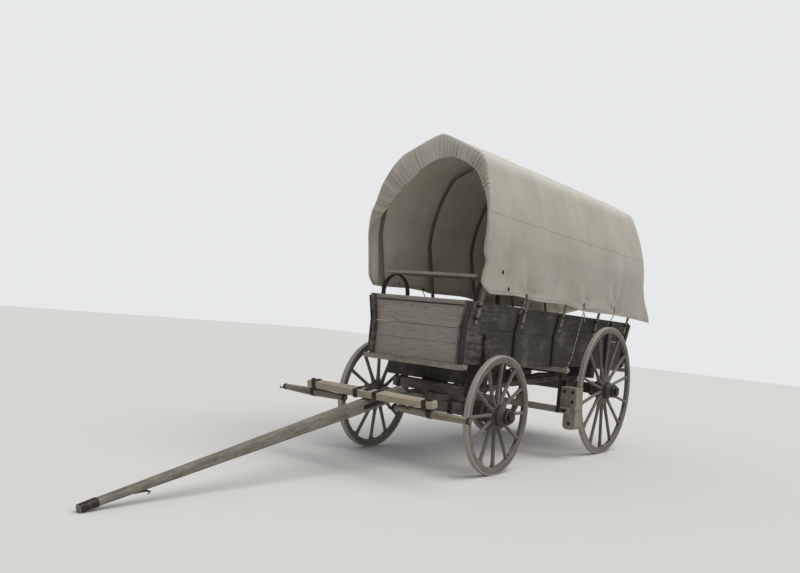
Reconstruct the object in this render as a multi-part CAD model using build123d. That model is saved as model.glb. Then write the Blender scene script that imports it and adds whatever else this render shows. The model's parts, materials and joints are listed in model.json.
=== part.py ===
"""A four-wheeled farm wagon with a canvas cover: box on bolsters, running gear and draft tree.

Millimetres. +X is the wagon's own left, the front faces -Y, +Z is up. The origin is on the ground
under the middle of the whole length, from the tongue's tip to the rear corners of the cover.
"""

from build123d import *
import math
import os

os.makedirs("parts", exist_ok=True)

# Wheels
FRONT_WHEEL_D = 1016.0
REAR_WHEEL_D = 1372.0
WHEELBASE = 2296.0
HALF_TRACK = 673.0
TREAD = 46.0
TYRE_THICK = 12.0
TYRE_SEAT = 0.3
FELLOE_DEPTH = 54.0
SPOKE_ROOT = (52.0, 36.0)
SPOKE_TIP = (36.0, 28.0)
SPOKE_CHAMFER = 9.0
SPOKE_TENON = 12.0
DISH = 22.0
FRONT_SPOKES = 12
REAR_SPOKES = 14
HUB_HALF = 140.0
HUB_INNER_END_R = 70.0
HUB_OUTER_END_R = 64.0
HUB_SHOULDER_R = 86.0
HUB_SPOKE_R = 97.0
HUB_SHOULDER_AT = 70.0
HUB_SPOKE_HALF = 40.0
HUB_STEP = 4.0
HUB_SEAT = 0.3
BAND_THICK = 6.0
BAND_WIDTH = 24.0
BAND_INSET = 1.0
ARM_R = 32.0
ARM_RUN = 0.06
PIPE_WALL = 8.0
NUT_R = 50.0
NUT_THICK = 26.0
HUB_END_GAP = 3.0
ARM_SOCKET = 90.0

# Axles and bolsters
AXLE_WIDE = 92.0
AXLE_TALL = 110.0
TIMBER_CHAMFER = 7.0
HOUND_TALL = 54.0
HOUND_WIDE = 46.0
SANDBOARD_TALL = 92.0
SANDBOARD_HALF = 440.0
PLATE_R = 120.0
PLATE_THICK = 6.0
PLATE_GAP = 2.0
BOLSTER_WIDE = 96.0
STAKE_THICK = 42.0
STAKE_LONG = 52.0
STAKE_TOP = 270.0
STAKE_TOP_THICK = 22.0
STAKE_SHOULDER = 40.0
STAKE_TENON = 60.0
STAKE_GAP = 3.0
KINGBOLT_R = 12.0
KING_HEAD_R = 26.0
KING_HEAD_THICK = 22.0
KING_SHORT = 20.0
PIN_RUN = 0.08
SEAT_GAP = 0.3
MOVING_GAP = 3.0

# Reach and hounds
REACH_WIDE = 84.0
REACH_TALL = 48.0
REACH_NOSE = 70.0
REACH_LEVEL = 560.0
REACH_TAIL = 420.0
HOUND_NOSE = 690.0
HOUND_SPLAY = 410.0
HOUND_TAIL = 500.0
HOUND_TAIL_X = 300.0
SWAY_WIDE = 60.0
SWAY_TALL = 50.0
SWAY_FROM_TAIL = 20.0
SWAY_OVER = 60.0
REAR_HOUND_FORE = 980.0
REAR_HOUND_TAIL_X = 290.0
REAR_HOUND_AFT = 90.0
REAR_HOUND_LEVEL = 200.0
REAR_HOUND_LAP = 160.0

# Box
FLOOR_Z = 910.0
FLOOR_THICK = 25.0
BOX_HALF = 475.0
BOX_FRONT = 400.0
BOX_LENGTH = 3660.0
BOARD_THICK = 24.0
LOWER_BOARD = 300.0
UPPER_BOARD = 238.0
BOARD_SEAM = 2.0
SILL_WIDE = 70.0
SILL_TALL = 44.0
SILL_ROUND = 22.0
SILL_HALF_END = 535.0
SILL_HALF_MID = 660.0
SILL_AHEAD = 260.0
CLEAT_WIDE = 70.0
CLEAT_THICK = 20.0
CLEAT_FOOT = 12.0
CLEAT_HEAD = 20.0
GATE_SET_BACK = 45.0
GATE_THICK = 25.0
BATTEN_AT = 250.0
BATTEN_WIDE = 60.0
BATTEN_THICK = 18.0
BATTEN_SHORT = 15.0
GATE_SIDE_GAP = 2.0
TAILGATE_SIDE_GAP = 6.0
TAILGATE_SET_IN = 14.0
STRIP_THICK = 20.0

# Tailgate hinge
HINGE_OUT = 14.0
HINGE_R = 8.0
KNUCKLE_WALL = 6.0
KNUCKLE_WIDE = 60.0
STRAP_WIDE = 50.0
STRAP_THICK = 8.0
STRAP_TALL = 190.0
LUG_THICK = 10.0
LUG_GAP = 5.0
LUG_EYE = 12.0
LUG_FOOT = 60.0

# Cover and bows
COVER_RIDGE = 2892.0
COVER_HALF = 652.0
COVER_BULGE_DROP = 892.0
COVER_HEM_Z = 1505.0
COVER_HEM_HALF = 606.0
COVER_SIDE_R = 1196.0
COVER_CROWN = 212.0
COVER_SHOULDER_R = 130.0
COVER_SHOULDER_TURN = 30.0
CLOTH = 8.0
MOUTH_BAND = 220.0
MOUTH_DROP = 632.0
MOUTH_SIDE = 40.0
HOLE_DROP = 780.0
HOLE_HALF_WIDE = 190.0
HOLE_HALF_TALL = 240.0
CURTAIN_FOOT = 55.0
BOW_WIDE = 44.0
BOW_THICK = 14.0
BOW_GAP = 0.3
BOW_FOOT = 190.0
BOW_FRONT_IN = 200.0
BOW_REAR_IN = 120.0
BOW_FROM_CLEAT = 63.0

# The cover's edges from the side: distance past the box's end, share of the way down to the hem.
FRONT_EDGE = ((-150.0, 0.0), (0.0, 0.456), (-30.0, 0.678), (20.0, 0.944), (-100.0, 1.0))
REAR_EDGE = ((60.0, 0.0), (-50.0, 0.44), (-30.0, 0.642), (110.0, 0.8), (360.0, 1.0))

# Seat
SEAT_Z = 1655.0
SEAT_THICK = 28.0
SEAT_DEPTH = 340.0
SEAT_HALF = 478.0
SEAT_FROM_FRONT = 170.0
SPRING_HALF = 190.0
SPRING_WIDE = 44.0
SPRING_THICK = 8.0

# Tongue and draft tree
TONGUE_LENGTH = 2830.0
TONGUE_PIN_AT = 600.0
TONGUE_PIN_UP = 10.0
TONGUE_STRAIGHT = 600.0
TONGUE_HEEL = (100.0, 92.0)
TONGUE_TIP = (54.0, 46.0)
TONGUE_TAIL = 90.0
TONGUE_PIN_R = 14.0
PIN_HEAD_R = 24.0
PIN_HEAD_THICK = 13.0
CHEEK_GAP = 6.0
CHEEK_LONG = 120.0
CHEEK_OVER = 46.0
WEAR_PLATE_R = 50.0
WEAR_PLATE_THICK = 6.0
TREE_AT = 320.0
TREE_HALF = 610.0
TREE_END_OVER = 45.0
TREE_THICK = 56.0
TREE_MID_WIDE = 112.0
TREE_END_WIDE = 72.0
TREE_PIN_R = 13.0
HAMMER_WIDE = 44.0
HAMMER_THICK = 10.0
HAMMER_FORE = 30.0
HAMMER_AFT = 110.0
SWING_HALF = 360.0
SWING_MID_R = 31.0
SWING_END_R = 21.0
SWING_DROP = 16.0
SWING_BOLT_R = 9.0
SWING_NUT_R = 18.0
SWING_NUT_THICK = 14.0
CLIP_HALF = 34.0
CLIP_WIDE = 48.0
HOOK_BAND_IN = 14.0
HOOK_BAND_WIDE = 24.0
HOOK_BAND_WALL = 4.0
HOOK_ROD = 6.0
HOOK_FINGER = 5.0
HOOK_REACH = 52.0
HOOK_OVER = 28.0

# Brake
BRAKE_GAP = 12.0
HANGER_WIDE = 36.0
HANGER_THICK = 8.0
HANGER_IN = 90.0
SHOE_UPPER_X = (560.0, 730.0)
SHOE_LOWER_X = (600.0, 730.0)
SHOE_TOP = 720.0
SHOE_FOOT = 300.0
SHOE_FOOT_ROUND = 45.0
SHOE_IN = 30.0
SHOE_PAST_RIM = 20.0
BRAKE_BEAM_Z = 490.0
BRAKE_BEAM_TALL = 62.0
BRAKE_BEAM_WIDE = 60.0

front_r = FRONT_WHEEL_D / 2
rear_r = REAR_WHEEL_D / 2
axle_top_f = front_r + AXLE_TALL / 2
axle_top_r = rear_r + AXLE_TALL / 2
hound_z_f = axle_top_f + SEAT_GAP
tongue_pin_z = hound_z_f + HOUND_TALL / 2 + TONGUE_PIN_UP

# The tongue's tip lies on the ground, so its dip follows from its length and the pin's height.
tip_half = TONGUE_TIP[1] / 2
tip_away = math.hypot(TONGUE_LENGTH, tip_half)
tongue_dip = math.asin(tongue_pin_z / tip_away) - math.atan(tip_half / TONGUE_LENGTH)
ahead = TONGUE_PIN_AT + TONGUE_LENGTH * math.cos(tongue_dip) + tip_half * math.sin(tongue_dip)
behind = BOX_LENGTH - BOX_FRONT + REAR_EDGE[-1][0]
front_y = (ahead - behind) / 2
rear_y = front_y + WHEELBASE
box_y0 = front_y - BOX_FRONT
box_y1 = box_y0 + BOX_LENGTH

sand_z = hound_z_f + HOUND_TALL + SEAT_GAP
sand_top = sand_z + SANDBOARD_TALL
bolster_z_f = sand_top + 2 * PLATE_THICK + PLATE_GAP
hound_z_r = axle_top_r + SEAT_GAP
bolster_z_r = hound_z_r + HOUND_TALL + SEAT_GAP
lower_top = FLOOR_Z + LOWER_BOARD
upper_z = lower_top + BOARD_SEAM
upper_top = upper_z + UPPER_BOARD
sill_top = FLOOR_Z - SEAT_GAP
sill_z = sill_top - SILL_TALL
sill_mid_y = rear_y - rear_r - SILL_AHEAD

# The upper boards flare so that the bows' legs lie flat against them.
bulge_z = COVER_RIDGE - COVER_BULGE_DROP
bow_inset = CLOTH + BOW_GAP
bow_depth = bow_inset + BOW_THICK + SEAT_GAP
leg_run = COVER_HALF - BOX_HALF
leg_rise = bulge_z - upper_z
flare = math.atan2(leg_run, leg_rise) - math.asin(bow_depth / math.hypot(leg_run, leg_rise))
flare_run = UPPER_BOARD * math.tan(flare)


def block(x0, x1, y0, y1, z0, z1):
    middle = Pos((x0 + x1) / 2, (y0 + y1) / 2, (z0 + z1) / 2)
    return middle * Box(abs(x1 - x0), abs(y1 - y0), abs(z1 - z0))


def timber(half, y, wide, z0, z1):
    """A beam across the wagon with its four long edges chamfered."""
    beam = block(-half, half, y - wide / 2, y + wide / 2, z0, z1)
    return chamfer(beam.edges().filter_by(Axis.X), TIMBER_CHAMFER)


def rod(start, end, radius):
    """A round bar from one point to another."""
    line = Vector(*end) - Vector(*start)
    plane = Plane(origin=start, z_dir=line)
    return extrude(plane * Circle(radius), amount=line.length)


def cross_rod(x0, x1, y, z, radius):
    return rod((x0, y, z), (x1, y, z), radius)


def both_sides(shape):
    return Compound([shape, mirror(shape, about=Plane.YZ)])


def save(name, *shapes):
    solids = []
    for shape in shapes:
        solids.extend(shape.solids())
    result = solids[0] if len(solids) == 1 else Compound(solids)
    export_step(result, f"parts/{name}.step")


def run_along(face, y0, y1):
    """A profile drawn as (x, height), run along the wagon from y0 to y1."""
    return Pos(0, y0, 0) * extrude(Plane.XZ * face, amount=y1 - y0, dir=(0, 1, 0))


def run_across(points, x0, x1):
    """A profile drawn as (y, height), run across the wagon from x0 to x1."""
    face = make_face(Polyline([(x0, y, z) for y, z in points], close=True))
    return extrude(face, amount=x1 - x0, dir=(1, 0, 0))


def run_up(points, z0, z1):
    """A plan drawn as (x, y), run upwards from z0 to z1."""
    face = make_face(Polyline([(x, y, z0) for x, y in points], close=True))
    return extrude(face, amount=z1 - z0, dir=(0, 0, 1))


def outline(points):
    return make_face(Polyline(points, close=True))


def ring(x0, x1, r0, r1):
    return revolve(outline([(x0, r0), (x1, r0), (x1, r1), (x0, r1)]), Axis.X, 360)


# Wheels: felloe, spokes and hub barrel are one wooden piece, with iron bands, pipe box and tyre.
# Hub barrel outline as (distance outward from the spokes, radius).
end_flat = BAND_WIDTH + 2 * HUB_STEP
HUB_OUTLINE = (
    (-HUB_HALF, HUB_INNER_END_R),
    (-HUB_HALF + end_flat, HUB_INNER_END_R),
    (-HUB_SHOULDER_AT, HUB_SHOULDER_R),
    (-HUB_SPOKE_HALF - HUB_STEP, HUB_SHOULDER_R),
    (-HUB_SPOKE_HALF, HUB_SPOKE_R),
    (HUB_SPOKE_HALF, HUB_SPOKE_R),
    (HUB_SPOKE_HALF + HUB_STEP, HUB_SHOULDER_R),
    (HUB_SHOULDER_AT, HUB_SHOULDER_R),
    (HUB_HALF - end_flat, HUB_OUTER_END_R),
    (HUB_HALF, HUB_OUTER_END_R),
)
# Hub bands as (distance outward from the spokes to the band's inner edge, radius of their seat).
HUB_BANDS = (
    (-HUB_HALF + BAND_INSET, HUB_INNER_END_R),
    (-HUB_SHOULDER_AT + BAND_INSET, HUB_SHOULDER_R),
    (HUB_SHOULDER_AT - BAND_WIDTH - BAND_INSET, HUB_SHOULDER_R),
    (HUB_HALF - BAND_WIDTH - BAND_INSET, HUB_OUTER_END_R),
)


def spoke(root_r, tip_r):
    """One tapered spoke standing up from the hub, its edges chamfered, leaning out by the dish."""
    root = chamfer(Rectangle(*SPOKE_ROOT).vertices(), SPOKE_CHAMFER)
    tip = chamfer(Rectangle(*SPOKE_TIP).vertices(), SPOKE_CHAMFER * SPOKE_TIP[1] / SPOKE_ROOT[1])
    return loft([Pos(-DISH, 0, root_r) * root, Pos(0, 0, tip_r) * tip], ruled=True)


def wheel(radius, count):
    """Wood, irons and tyre of a wheel that turns about X, its outer face towards +X."""
    rim_r = radius - TYRE_THICK
    felloe_r = rim_r - TYRE_SEAT
    inner_r = felloe_r - FELLOE_DEPTH
    half = TREAD / 2
    felloe = ring(-half, half, inner_r, felloe_r)
    pipe_r = ARM_R + ARM_RUN + PIPE_WALL
    bore = pipe_r + HUB_SEAT
    points = [(x - DISH, r) for x, r in HUB_OUTLINE]
    hub = revolve(outline([(points[0][0], bore), *points, (points[-1][0], bore)]), Axis.X, 360)
    stick = spoke(HUB_SPOKE_R - SPOKE_TENON, inner_r + SPOKE_TENON / 2)
    wood = felloe.fuse(hub, *[Rot(X=360 * i / count) * stick for i in range(count)])
    bands = [
        ring(x - DISH, x - DISH + BAND_WIDTH, r + HUB_SEAT, r + HUB_SEAT + BAND_THICK)
        for x, r in HUB_BANDS
    ]
    pipe = ring(-HUB_HALF - DISH, HUB_HALF - DISH, ARM_R + ARM_RUN, pipe_r)
    tyre = ring(-half, half, rim_r, radius)
    return wood, Compound([*bands, pipe]), tyre


# Wheel name, side, distance back, radius, spokes.
WHEELS = (
    ("front_left", 1, front_y, front_r, FRONT_SPOKES),
    ("front_right", -1, front_y, front_r, FRONT_SPOKES),
    ("rear_left", 1, rear_y, rear_r, REAR_SPOKES),
    ("rear_right", -1, rear_y, rear_r, REAR_SPOKES),
)
for name, side, y, radius, count in WHEELS:
    place = Pos(side * HALF_TRACK, y, radius) * Rot(Z=0 if side > 0 else 180)
    for piece, shape in zip(("wood", "irons", "tyre"), wheel(radius, count)):
        save(f"{name}_wheel_{piece}", place * shape)

hub_in = HALF_TRACK - DISH - HUB_HALF - HUB_END_GAP
hub_out = HALF_TRACK - DISH + HUB_HALF + HUB_END_GAP
arm_in = hub_in - ARM_SOCKET


def axle_arms(y, z):
    """The iron arms that the wheels run on, let into the ends of the axle, with their nuts."""
    arm = cross_rod(hub_in, hub_out + NUT_THICK, y, z, ARM_R)
    half_wide = AXLE_WIDE / 2
    half_tall = AXLE_TALL / 2
    socket = block(arm_in, hub_in, y - half_wide, y + half_wide, z - half_tall, z + half_tall)
    socket = chamfer(socket.edges().filter_by(Axis.X), TIMBER_CHAMFER)
    nut_plane = Plane(origin=(hub_out, y, z), z_dir=(1, 0, 0))
    nut = extrude(nut_plane * RegularPolygon(NUT_R, 6), amount=NUT_THICK)
    return both_sides(arm + socket + nut)


# Front gear: axle, sandboard, hounds with their sway bar, tongue pin, kingbolt.
king_hole = Pos(0, front_y, 0) * Cylinder(KINGBOLT_R + PIN_RUN, 2 * COVER_RIDGE)
front_axle = timber(arm_in, front_y, AXLE_WIDE, front_r - AXLE_TALL / 2, axle_top_f)
save("front_axle", front_axle - king_hole)
save("front_axle_arms", axle_arms(front_y, front_r))
save("sandboard", timber(SANDBOARD_HALF, front_y, AXLE_WIDE, sand_z, sand_top) - king_hole)

nose_in = TONGUE_HEEL[0] / 2 + CHEEK_GAP
nose_out = nose_in + HOUND_WIDE
hound_plan = [
    (nose_in, front_y - HOUND_NOSE),
    (nose_out, front_y - HOUND_NOSE),
    (nose_out, front_y - HOUND_SPLAY),
    (HOUND_TAIL_X + HOUND_WIDE / 2, front_y + HOUND_TAIL),
    (HOUND_TAIL_X - HOUND_WIDE / 2, front_y + HOUND_TAIL),
    (nose_in, front_y - HOUND_SPLAY),
]
hound = run_up(hound_plan, hound_z_f, hound_z_f + HOUND_TALL)
pin_y = front_y - TONGUE_PIN_AT
pin_hole = cross_rod(-HALF_TRACK, HALF_TRACK, pin_y, tongue_pin_z, TONGUE_PIN_R + PIN_RUN)
cheek_y0 = pin_y - CHEEK_LONG / 2
cheek_z0 = hound_z_f + HOUND_TALL / 2
cheek_z1 = tongue_pin_z + CHEEK_OVER
cheek = block(nose_in, nose_out, cheek_y0, cheek_y0 + CHEEK_LONG, cheek_z0, cheek_z1)
cheek = chamfer(cheek.edges().filter_by(Axis.X).group_by(Axis.Z)[-1], CHEEK_OVER / 2)
sway_y = front_y + HOUND_TAIL - SWAY_WIDE / 2 - SWAY_FROM_TAIL
sway = timber(HOUND_TAIL_X + SWAY_OVER, sway_y, SWAY_WIDE, hound_z_f - SWAY_TALL, hound_z_f)
hounds = both_sides(hound + cheek - pin_hole).solids()
save("front_hounds", hounds[0].fuse(sway, hounds[1]))
head_out = nose_out + PIN_HEAD_THICK + SEAT_GAP
pin = cross_rod(-head_out, head_out, pin_y, tongue_pin_z, TONGUE_PIN_R)
head = cross_rod(nose_out + SEAT_GAP, head_out, pin_y, tongue_pin_z, PIN_HEAD_R)
save("tongue_pin", pin.fuse(*both_sides(head).solids()))
king_foot = front_r - AXLE_TALL / 2 - SEAT_GAP
kingbolt = rod((0, front_y, king_foot), (0, front_y, FLOOR_Z - KING_SHORT), KINGBOLT_R)
king_head = rod((0, front_y, king_foot), (0, front_y, king_foot - KING_HEAD_THICK), KING_HEAD_R)
lower_plate = Pos(0, front_y, sand_top + PLATE_THICK / 2) * Cylinder(PLATE_R, PLATE_THICK)
save("kingbolt", kingbolt + king_head + lower_plate)

# Body side of the gear: bolsters with stakes, rear axle, reach, rear hounds.
stake_in = BOX_HALF + STAKE_GAP
stake_out = stake_in + STAKE_THICK


def bolster(y, z0):
    """A bolster across the wagon with a stake let into each end to hold the box sideways."""
    beam = timber(stake_out, y, BOLSTER_WIDE, z0, sill_top)
    plan = [
        (stake_in, FLOOR_Z - STAKE_TENON),
        (stake_in, FLOOR_Z + STAKE_TOP),
        (stake_in + STAKE_TOP_THICK, FLOOR_Z + STAKE_TOP),
        (stake_out, FLOOR_Z + STAKE_SHOULDER),
        (stake_out, FLOOR_Z - STAKE_TENON),
    ]
    stake = run_along(outline(plan), y - STAKE_LONG / 2, y + STAKE_LONG / 2)
    return beam.fuse(*both_sides(stake).solids())


save("front_bolster", bolster(front_y, bolster_z_f) - king_hole)
upper_plate = Pos(0, front_y, bolster_z_f - PLATE_THICK / 2) * Cylinder(PLATE_R, PLATE_THICK)
save("bolster_plate", upper_plate - king_hole)
save("rear_bolster", bolster(rear_y, bolster_z_r))
save("rear_axle", timber(arm_in, rear_y, AXLE_WIDE, rear_r - AXLE_TALL / 2, axle_top_r))
save("rear_axle_arms", axle_arms(rear_y, rear_r))

reach_z0 = axle_top_f + MOVING_GAP
reach_z1 = hound_z_r
rise_y0 = front_y + REACH_LEVEL
rise_y1 = rear_y - REAR_HOUND_LEVEL
reach_profile = [
    (front_y - REACH_NOSE, reach_z0),
    (rise_y0, reach_z0),
    (rise_y1, reach_z1),
    (rear_y + REACH_TAIL, reach_z1),
    (rear_y + REACH_TAIL, reach_z1 + REACH_TALL),
    (rise_y1, reach_z1 + REACH_TALL),
    (rise_y0, reach_z0 + REACH_TALL),
    (front_y - REACH_NOSE, reach_z0 + REACH_TALL),
]
save("reach", run_across(reach_profile, -REACH_WIDE / 2, REACH_WIDE / 2) - king_hole)

fore_y = rear_y - REAR_HOUND_FORE
fore_z = reach_z1 - (reach_z1 - reach_z0) * (rise_y1 - fore_y) / (rise_y1 - rise_y0)
aft_y = rear_y + REAR_HOUND_AFT
hound_side = [
    (fore_y, fore_z),
    (rise_y1, hound_z_r),
    (aft_y, hound_z_r),
    (aft_y, hound_z_r + HOUND_TALL),
    (rise_y1, hound_z_r + HOUND_TALL),
    (fore_y, fore_z + HOUND_TALL),
]
reach_side = REACH_WIDE / 2 + SEAT_GAP
hound_top = [
    (reach_side, fore_y),
    (reach_side, fore_y + REAR_HOUND_LAP),
    (REAR_HOUND_TAIL_X - HOUND_WIDE / 2, aft_y),
    (REAR_HOUND_TAIL_X + HOUND_WIDE / 2, aft_y),
    (reach_side + HOUND_WIDE, fore_y + REAR_HOUND_LAP / 2),
    (reach_side + HOUND_WIDE / 2, fore_y),
]
rear_hound = run_up(hound_top, 0, COVER_RIDGE) & run_across(hound_side, 0, BOX_HALF)
save("rear_hounds", both_sides(rear_hound))

# Box: floor, cross sills, side boards, cleats, gates, the strips inside that the gates close against.
inner = BOX_HALF - BOARD_THICK
floor_half = inner - SEAT_GAP
floor_top = FLOOR_Z + FLOOR_THICK
gate_y = box_y0 + GATE_SET_BACK
gate_in = gate_y + GATE_THICK
floor_y0 = gate_in + SEAT_GAP
save("box_floor", block(-floor_half, floor_half, floor_y0, box_y1 - TAILGATE_SET_IN, FLOOR_Z, floor_top))


def sill(y, half):
    """A cross sill under the floor, its two ends rounded up from below."""
    beam = block(-half, half, y - SILL_WIDE / 2, y + SILL_WIDE / 2, sill_z, sill_top)
    return fillet(beam.edges().filter_by(Axis.Y).group_by(Axis.Z)[0], SILL_ROUND)


# Sills as (distance back, half length).
SILLS = (
    (box_y0 + SILL_WIDE / 2, SILL_HALF_END),
    (sill_mid_y, SILL_HALF_MID),
    (box_y1 - SILL_WIDE / 2, SILL_HALF_END),
)
save("cross_sills", *[sill(y, half) for y, half in SILLS])
save("lower_side_boards", both_sides(block(inner, BOX_HALF, box_y0, box_y1, FLOOR_Z, lower_top)))
upper_face = [
    (inner, upper_z),
    (BOX_HALF, upper_z),
    (BOX_HALF + flare_run, upper_top),
    (inner + flare_run, upper_top),
]
save("upper_side_boards", both_sides(run_along(outline(upper_face), box_y0, box_y1)))

bow_mid_y = sill_mid_y + BOW_FROM_CLEAT
bow_ends = (box_y0 + BOW_FRONT_IN, box_y1 - BOW_REAR_IN)
bow_at = [bow_ends[0], (bow_ends[0] + bow_mid_y) / 2, bow_mid_y, (bow_mid_y + bow_ends[1]) / 2, bow_ends[1]]

cleat_x = BOX_HALF + SEAT_GAP
cleat_run = (UPPER_BOARD - CLEAT_HEAD) * math.tan(flare)
cleat_face = [
    (cleat_x, FLOOR_Z + CLEAT_FOOT),
    (cleat_x + CLEAT_THICK, FLOOR_Z + CLEAT_FOOT),
    (cleat_x + CLEAT_THICK, upper_z),
    (cleat_x + CLEAT_THICK + cleat_run, upper_top - CLEAT_HEAD),
    (cleat_x + cleat_run, upper_top - CLEAT_HEAD),
    (cleat_x, upper_z),
]
cleat_at = [
    box_y0 + CLEAT_WIDE / 2,
    bow_at[1] - BOW_FROM_CLEAT,
    bow_at[2] - BOW_FROM_CLEAT,
    (bow_at[3] + bow_at[4]) / 2,
    box_y1 - CLEAT_WIDE / 2,
]
cleats = [run_along(outline(cleat_face), y - CLEAT_WIDE / 2, y + CLEAT_WIDE / 2) for y in cleat_at]
save("side_cleats", *[both_sides(cleat) for cleat in cleats])


def end_gate(y0, batten_y, z0, side_gap):
    """Two boards across the box, the upper one as wide as the flared sides, on two battens."""
    half = inner - side_gap
    y1 = y0 + GATE_THICK
    low = block(-half, half, y0, y1, z0, lower_top - BOARD_SEAM)
    top_half = half + flare_run
    top_face = [(-half, upper_z), (half, upper_z), (top_half, upper_top), (-top_half, upper_top)]
    top = run_along(outline(top_face), y0, y1)
    batten = block(
        BATTEN_AT - BATTEN_WIDE / 2,
        BATTEN_AT + BATTEN_WIDE / 2,
        batten_y,
        batten_y + BATTEN_THICK,
        floor_top + BATTEN_SHORT,
        upper_top - BATTEN_SHORT,
    )
    return low.fuse(top, *both_sides(batten).solids())


# The front gate stands on the first sill, ahead of the floor's end.
save("front_gate", end_gate(gate_y, gate_in, FLOOR_Z, GATE_SIDE_GAP))

# The tailgate drops outwards on a rod along its lower outer edge, so that shut it leans on the floor's end.
tail_out = box_y1 - BOARD_SEAM
tail_in = tail_out - GATE_THICK
batten_out = tail_out + BATTEN_THICK
hinge_y = batten_out + HINGE_OUT
hinge_z = floor_top + HINGE_R
tailgate = end_gate(tail_in, tail_out, floor_top + MOVING_GAP, TAILGATE_SIDE_GAP)
strap_x = (BATTEN_AT - STRAP_WIDE / 2, BATTEN_AT + STRAP_WIDE / 2)
knuckle_x = (BATTEN_AT - KNUCKLE_WIDE / 2, BATTEN_AT + KNUCKLE_WIDE / 2)
strap_z0 = hinge_z - KNUCKLE_WALL
strap = block(*strap_x, batten_out, hinge_y, strap_z0, hinge_z + KNUCKLE_WALL)
strap += block(*strap_x, batten_out, batten_out + STRAP_THICK, strap_z0, hinge_z + STRAP_TALL)
strap += cross_rod(*knuckle_x, hinge_y, hinge_z, HINGE_R + KNUCKLE_WALL)
hinge_bore = cross_rod(-inner, inner, hinge_y, hinge_z, HINGE_R + PIN_RUN)
save("tailgate", tailgate.fuse(*both_sides(strap).solids()) - hinge_bore)
lug_x = (knuckle_x[0] - LUG_GAP - LUG_THICK, knuckle_x[1] + LUG_GAP)
hinge_pin = cross_rod(lug_x[0] - LUG_THICK, lug_x[1] + 2 * LUG_THICK, hinge_y, hinge_z, HINGE_R)
lug_side = [
    (box_y1 - LUG_FOOT, sill_z - KNUCKLE_WALL),
    (box_y1 - LUG_FOOT, sill_z),
    (box_y1 + SEAT_GAP, sill_z),
    (box_y1 + SEAT_GAP, hinge_z - LUG_EYE),
    (hinge_y - LUG_EYE, hinge_z + LUG_EYE),
    (hinge_y + LUG_EYE, hinge_z + LUG_EYE),
    (hinge_y + LUG_EYE, hinge_z - LUG_EYE),
    (box_y1 + LUG_EYE, sill_z - KNUCKLE_WALL),
]
lugs = [run_across(lug_side, x, x + LUG_THICK) for x in lug_x]
save("tailgate_hinges", both_sides(hinge_pin.fuse(*lugs)))

strip_x = inner - SEAT_GAP
strip_z = floor_top + BATTEN_SHORT
strips = [
    block(strip_x - STRIP_THICK, strip_x, y, y + STRIP_THICK, strip_z, lower_top - BOARD_SEAM)
    for y in (gate_in + SEAT_GAP, tail_in - SEAT_GAP - STRIP_THICK)
]
save("gate_strips", *[both_sides(strip) for strip in strips])


def arch(foot_x, foot_z):
    """Half of the pointed arch: leg, long side arc, tight shoulder, flat top arc to the ridge."""
    leg = Line((foot_x, foot_z), (COVER_HALF, bulge_z))
    rise = COVER_RIDGE - COVER_CROWN - bulge_z
    side_turn = math.degrees(math.asin(rise / COVER_SIDE_R))
    side = JernArc(start=leg @ 1, tangent=(0, 1), radius=COVER_SIDE_R, arc_size=side_turn)
    turn = COVER_SHOULDER_TURN
    shoulder = JernArc(start=side @ 1, tangent=side % 1, radius=COVER_SHOULDER_R, arc_size=turn)
    top = TangentArc(shoulder @ 1, (0, COVER_RIDGE), tangent=shoulder % 1)
    return [leg, side, shoulder, top]


def arch_face(foot_x, foot_z, inset):
    """The whole arch as a closed face, drawn in by inset, its foot left on the same height."""
    half = [edge.edge() for edge in arch(foot_x, foot_z)]
    other = [mirror(edge, about=Plane.YZ).edge() for edge in half]
    sill_line = Line((-foot_x, foot_z), (foot_x, foot_z)).edge()
    face = make_face([*half, *other, sill_line])
    return offset(face, amount=-inset, kind=Kind.INTERSECTION) if inset else face


def shell(foot_x, foot_z, inset, thick, y0, y1):
    """An open arched shell, as thick as given, between two distances along the wagon."""
    outer = run_along(arch_face(foot_x, foot_z, inset), y0, y1)
    void = run_along(arch_face(foot_x, foot_z, inset + thick), y0 - 1, y1 + 1)
    half = BOX_HALF + COVER_HALF
    below = block(-half, half, y0 - 1, y1 + 1, 0, foot_z + inset + thick + 1)
    return outer - void - below


# Cover: an arched shell, its ends trimmed to their outlines and drawn in to a mouth and a rear hole.
cover_tall = COVER_RIDGE - COVER_HEM_Z
front_edge = [(box_y0 - out, COVER_RIDGE - down * cover_tall) for out, down in FRONT_EDGE]
rear_edge = [(box_y1 + out, COVER_RIDGE - down * cover_tall) for out, down in REAR_EDGE]
cover_ends = (min(y for y, z in front_edge), max(y for y, z in rear_edge))
over_ridge = [(y, COVER_RIDGE + 1) for y in (rear_edge[0][0], front_edge[0][0])]
side_view = run_across([*front_edge[1:], *rear_edge[:0:-1], *over_ridge], -COVER_HALF, COVER_HALF)
cover = shell(COVER_HEM_HALF, COVER_HEM_Z, 0, CLOTH, *cover_ends) & side_view
drawn_in = run_along(arch_face(COVER_HEM_HALF, COVER_HEM_Z, CLOTH / 2), *cover_ends)


def curtain(top, foot, inward):
    """A flat end of the cover that follows the edge's slope from the ridge down to its foot."""
    slab = [*top, foot, (foot[0] + inward, foot[1]), *[(y + inward, z) for y, z in top[::-1]]]
    return run_across(slab, -COVER_HALF, COVER_HALF) & drawn_in


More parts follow.
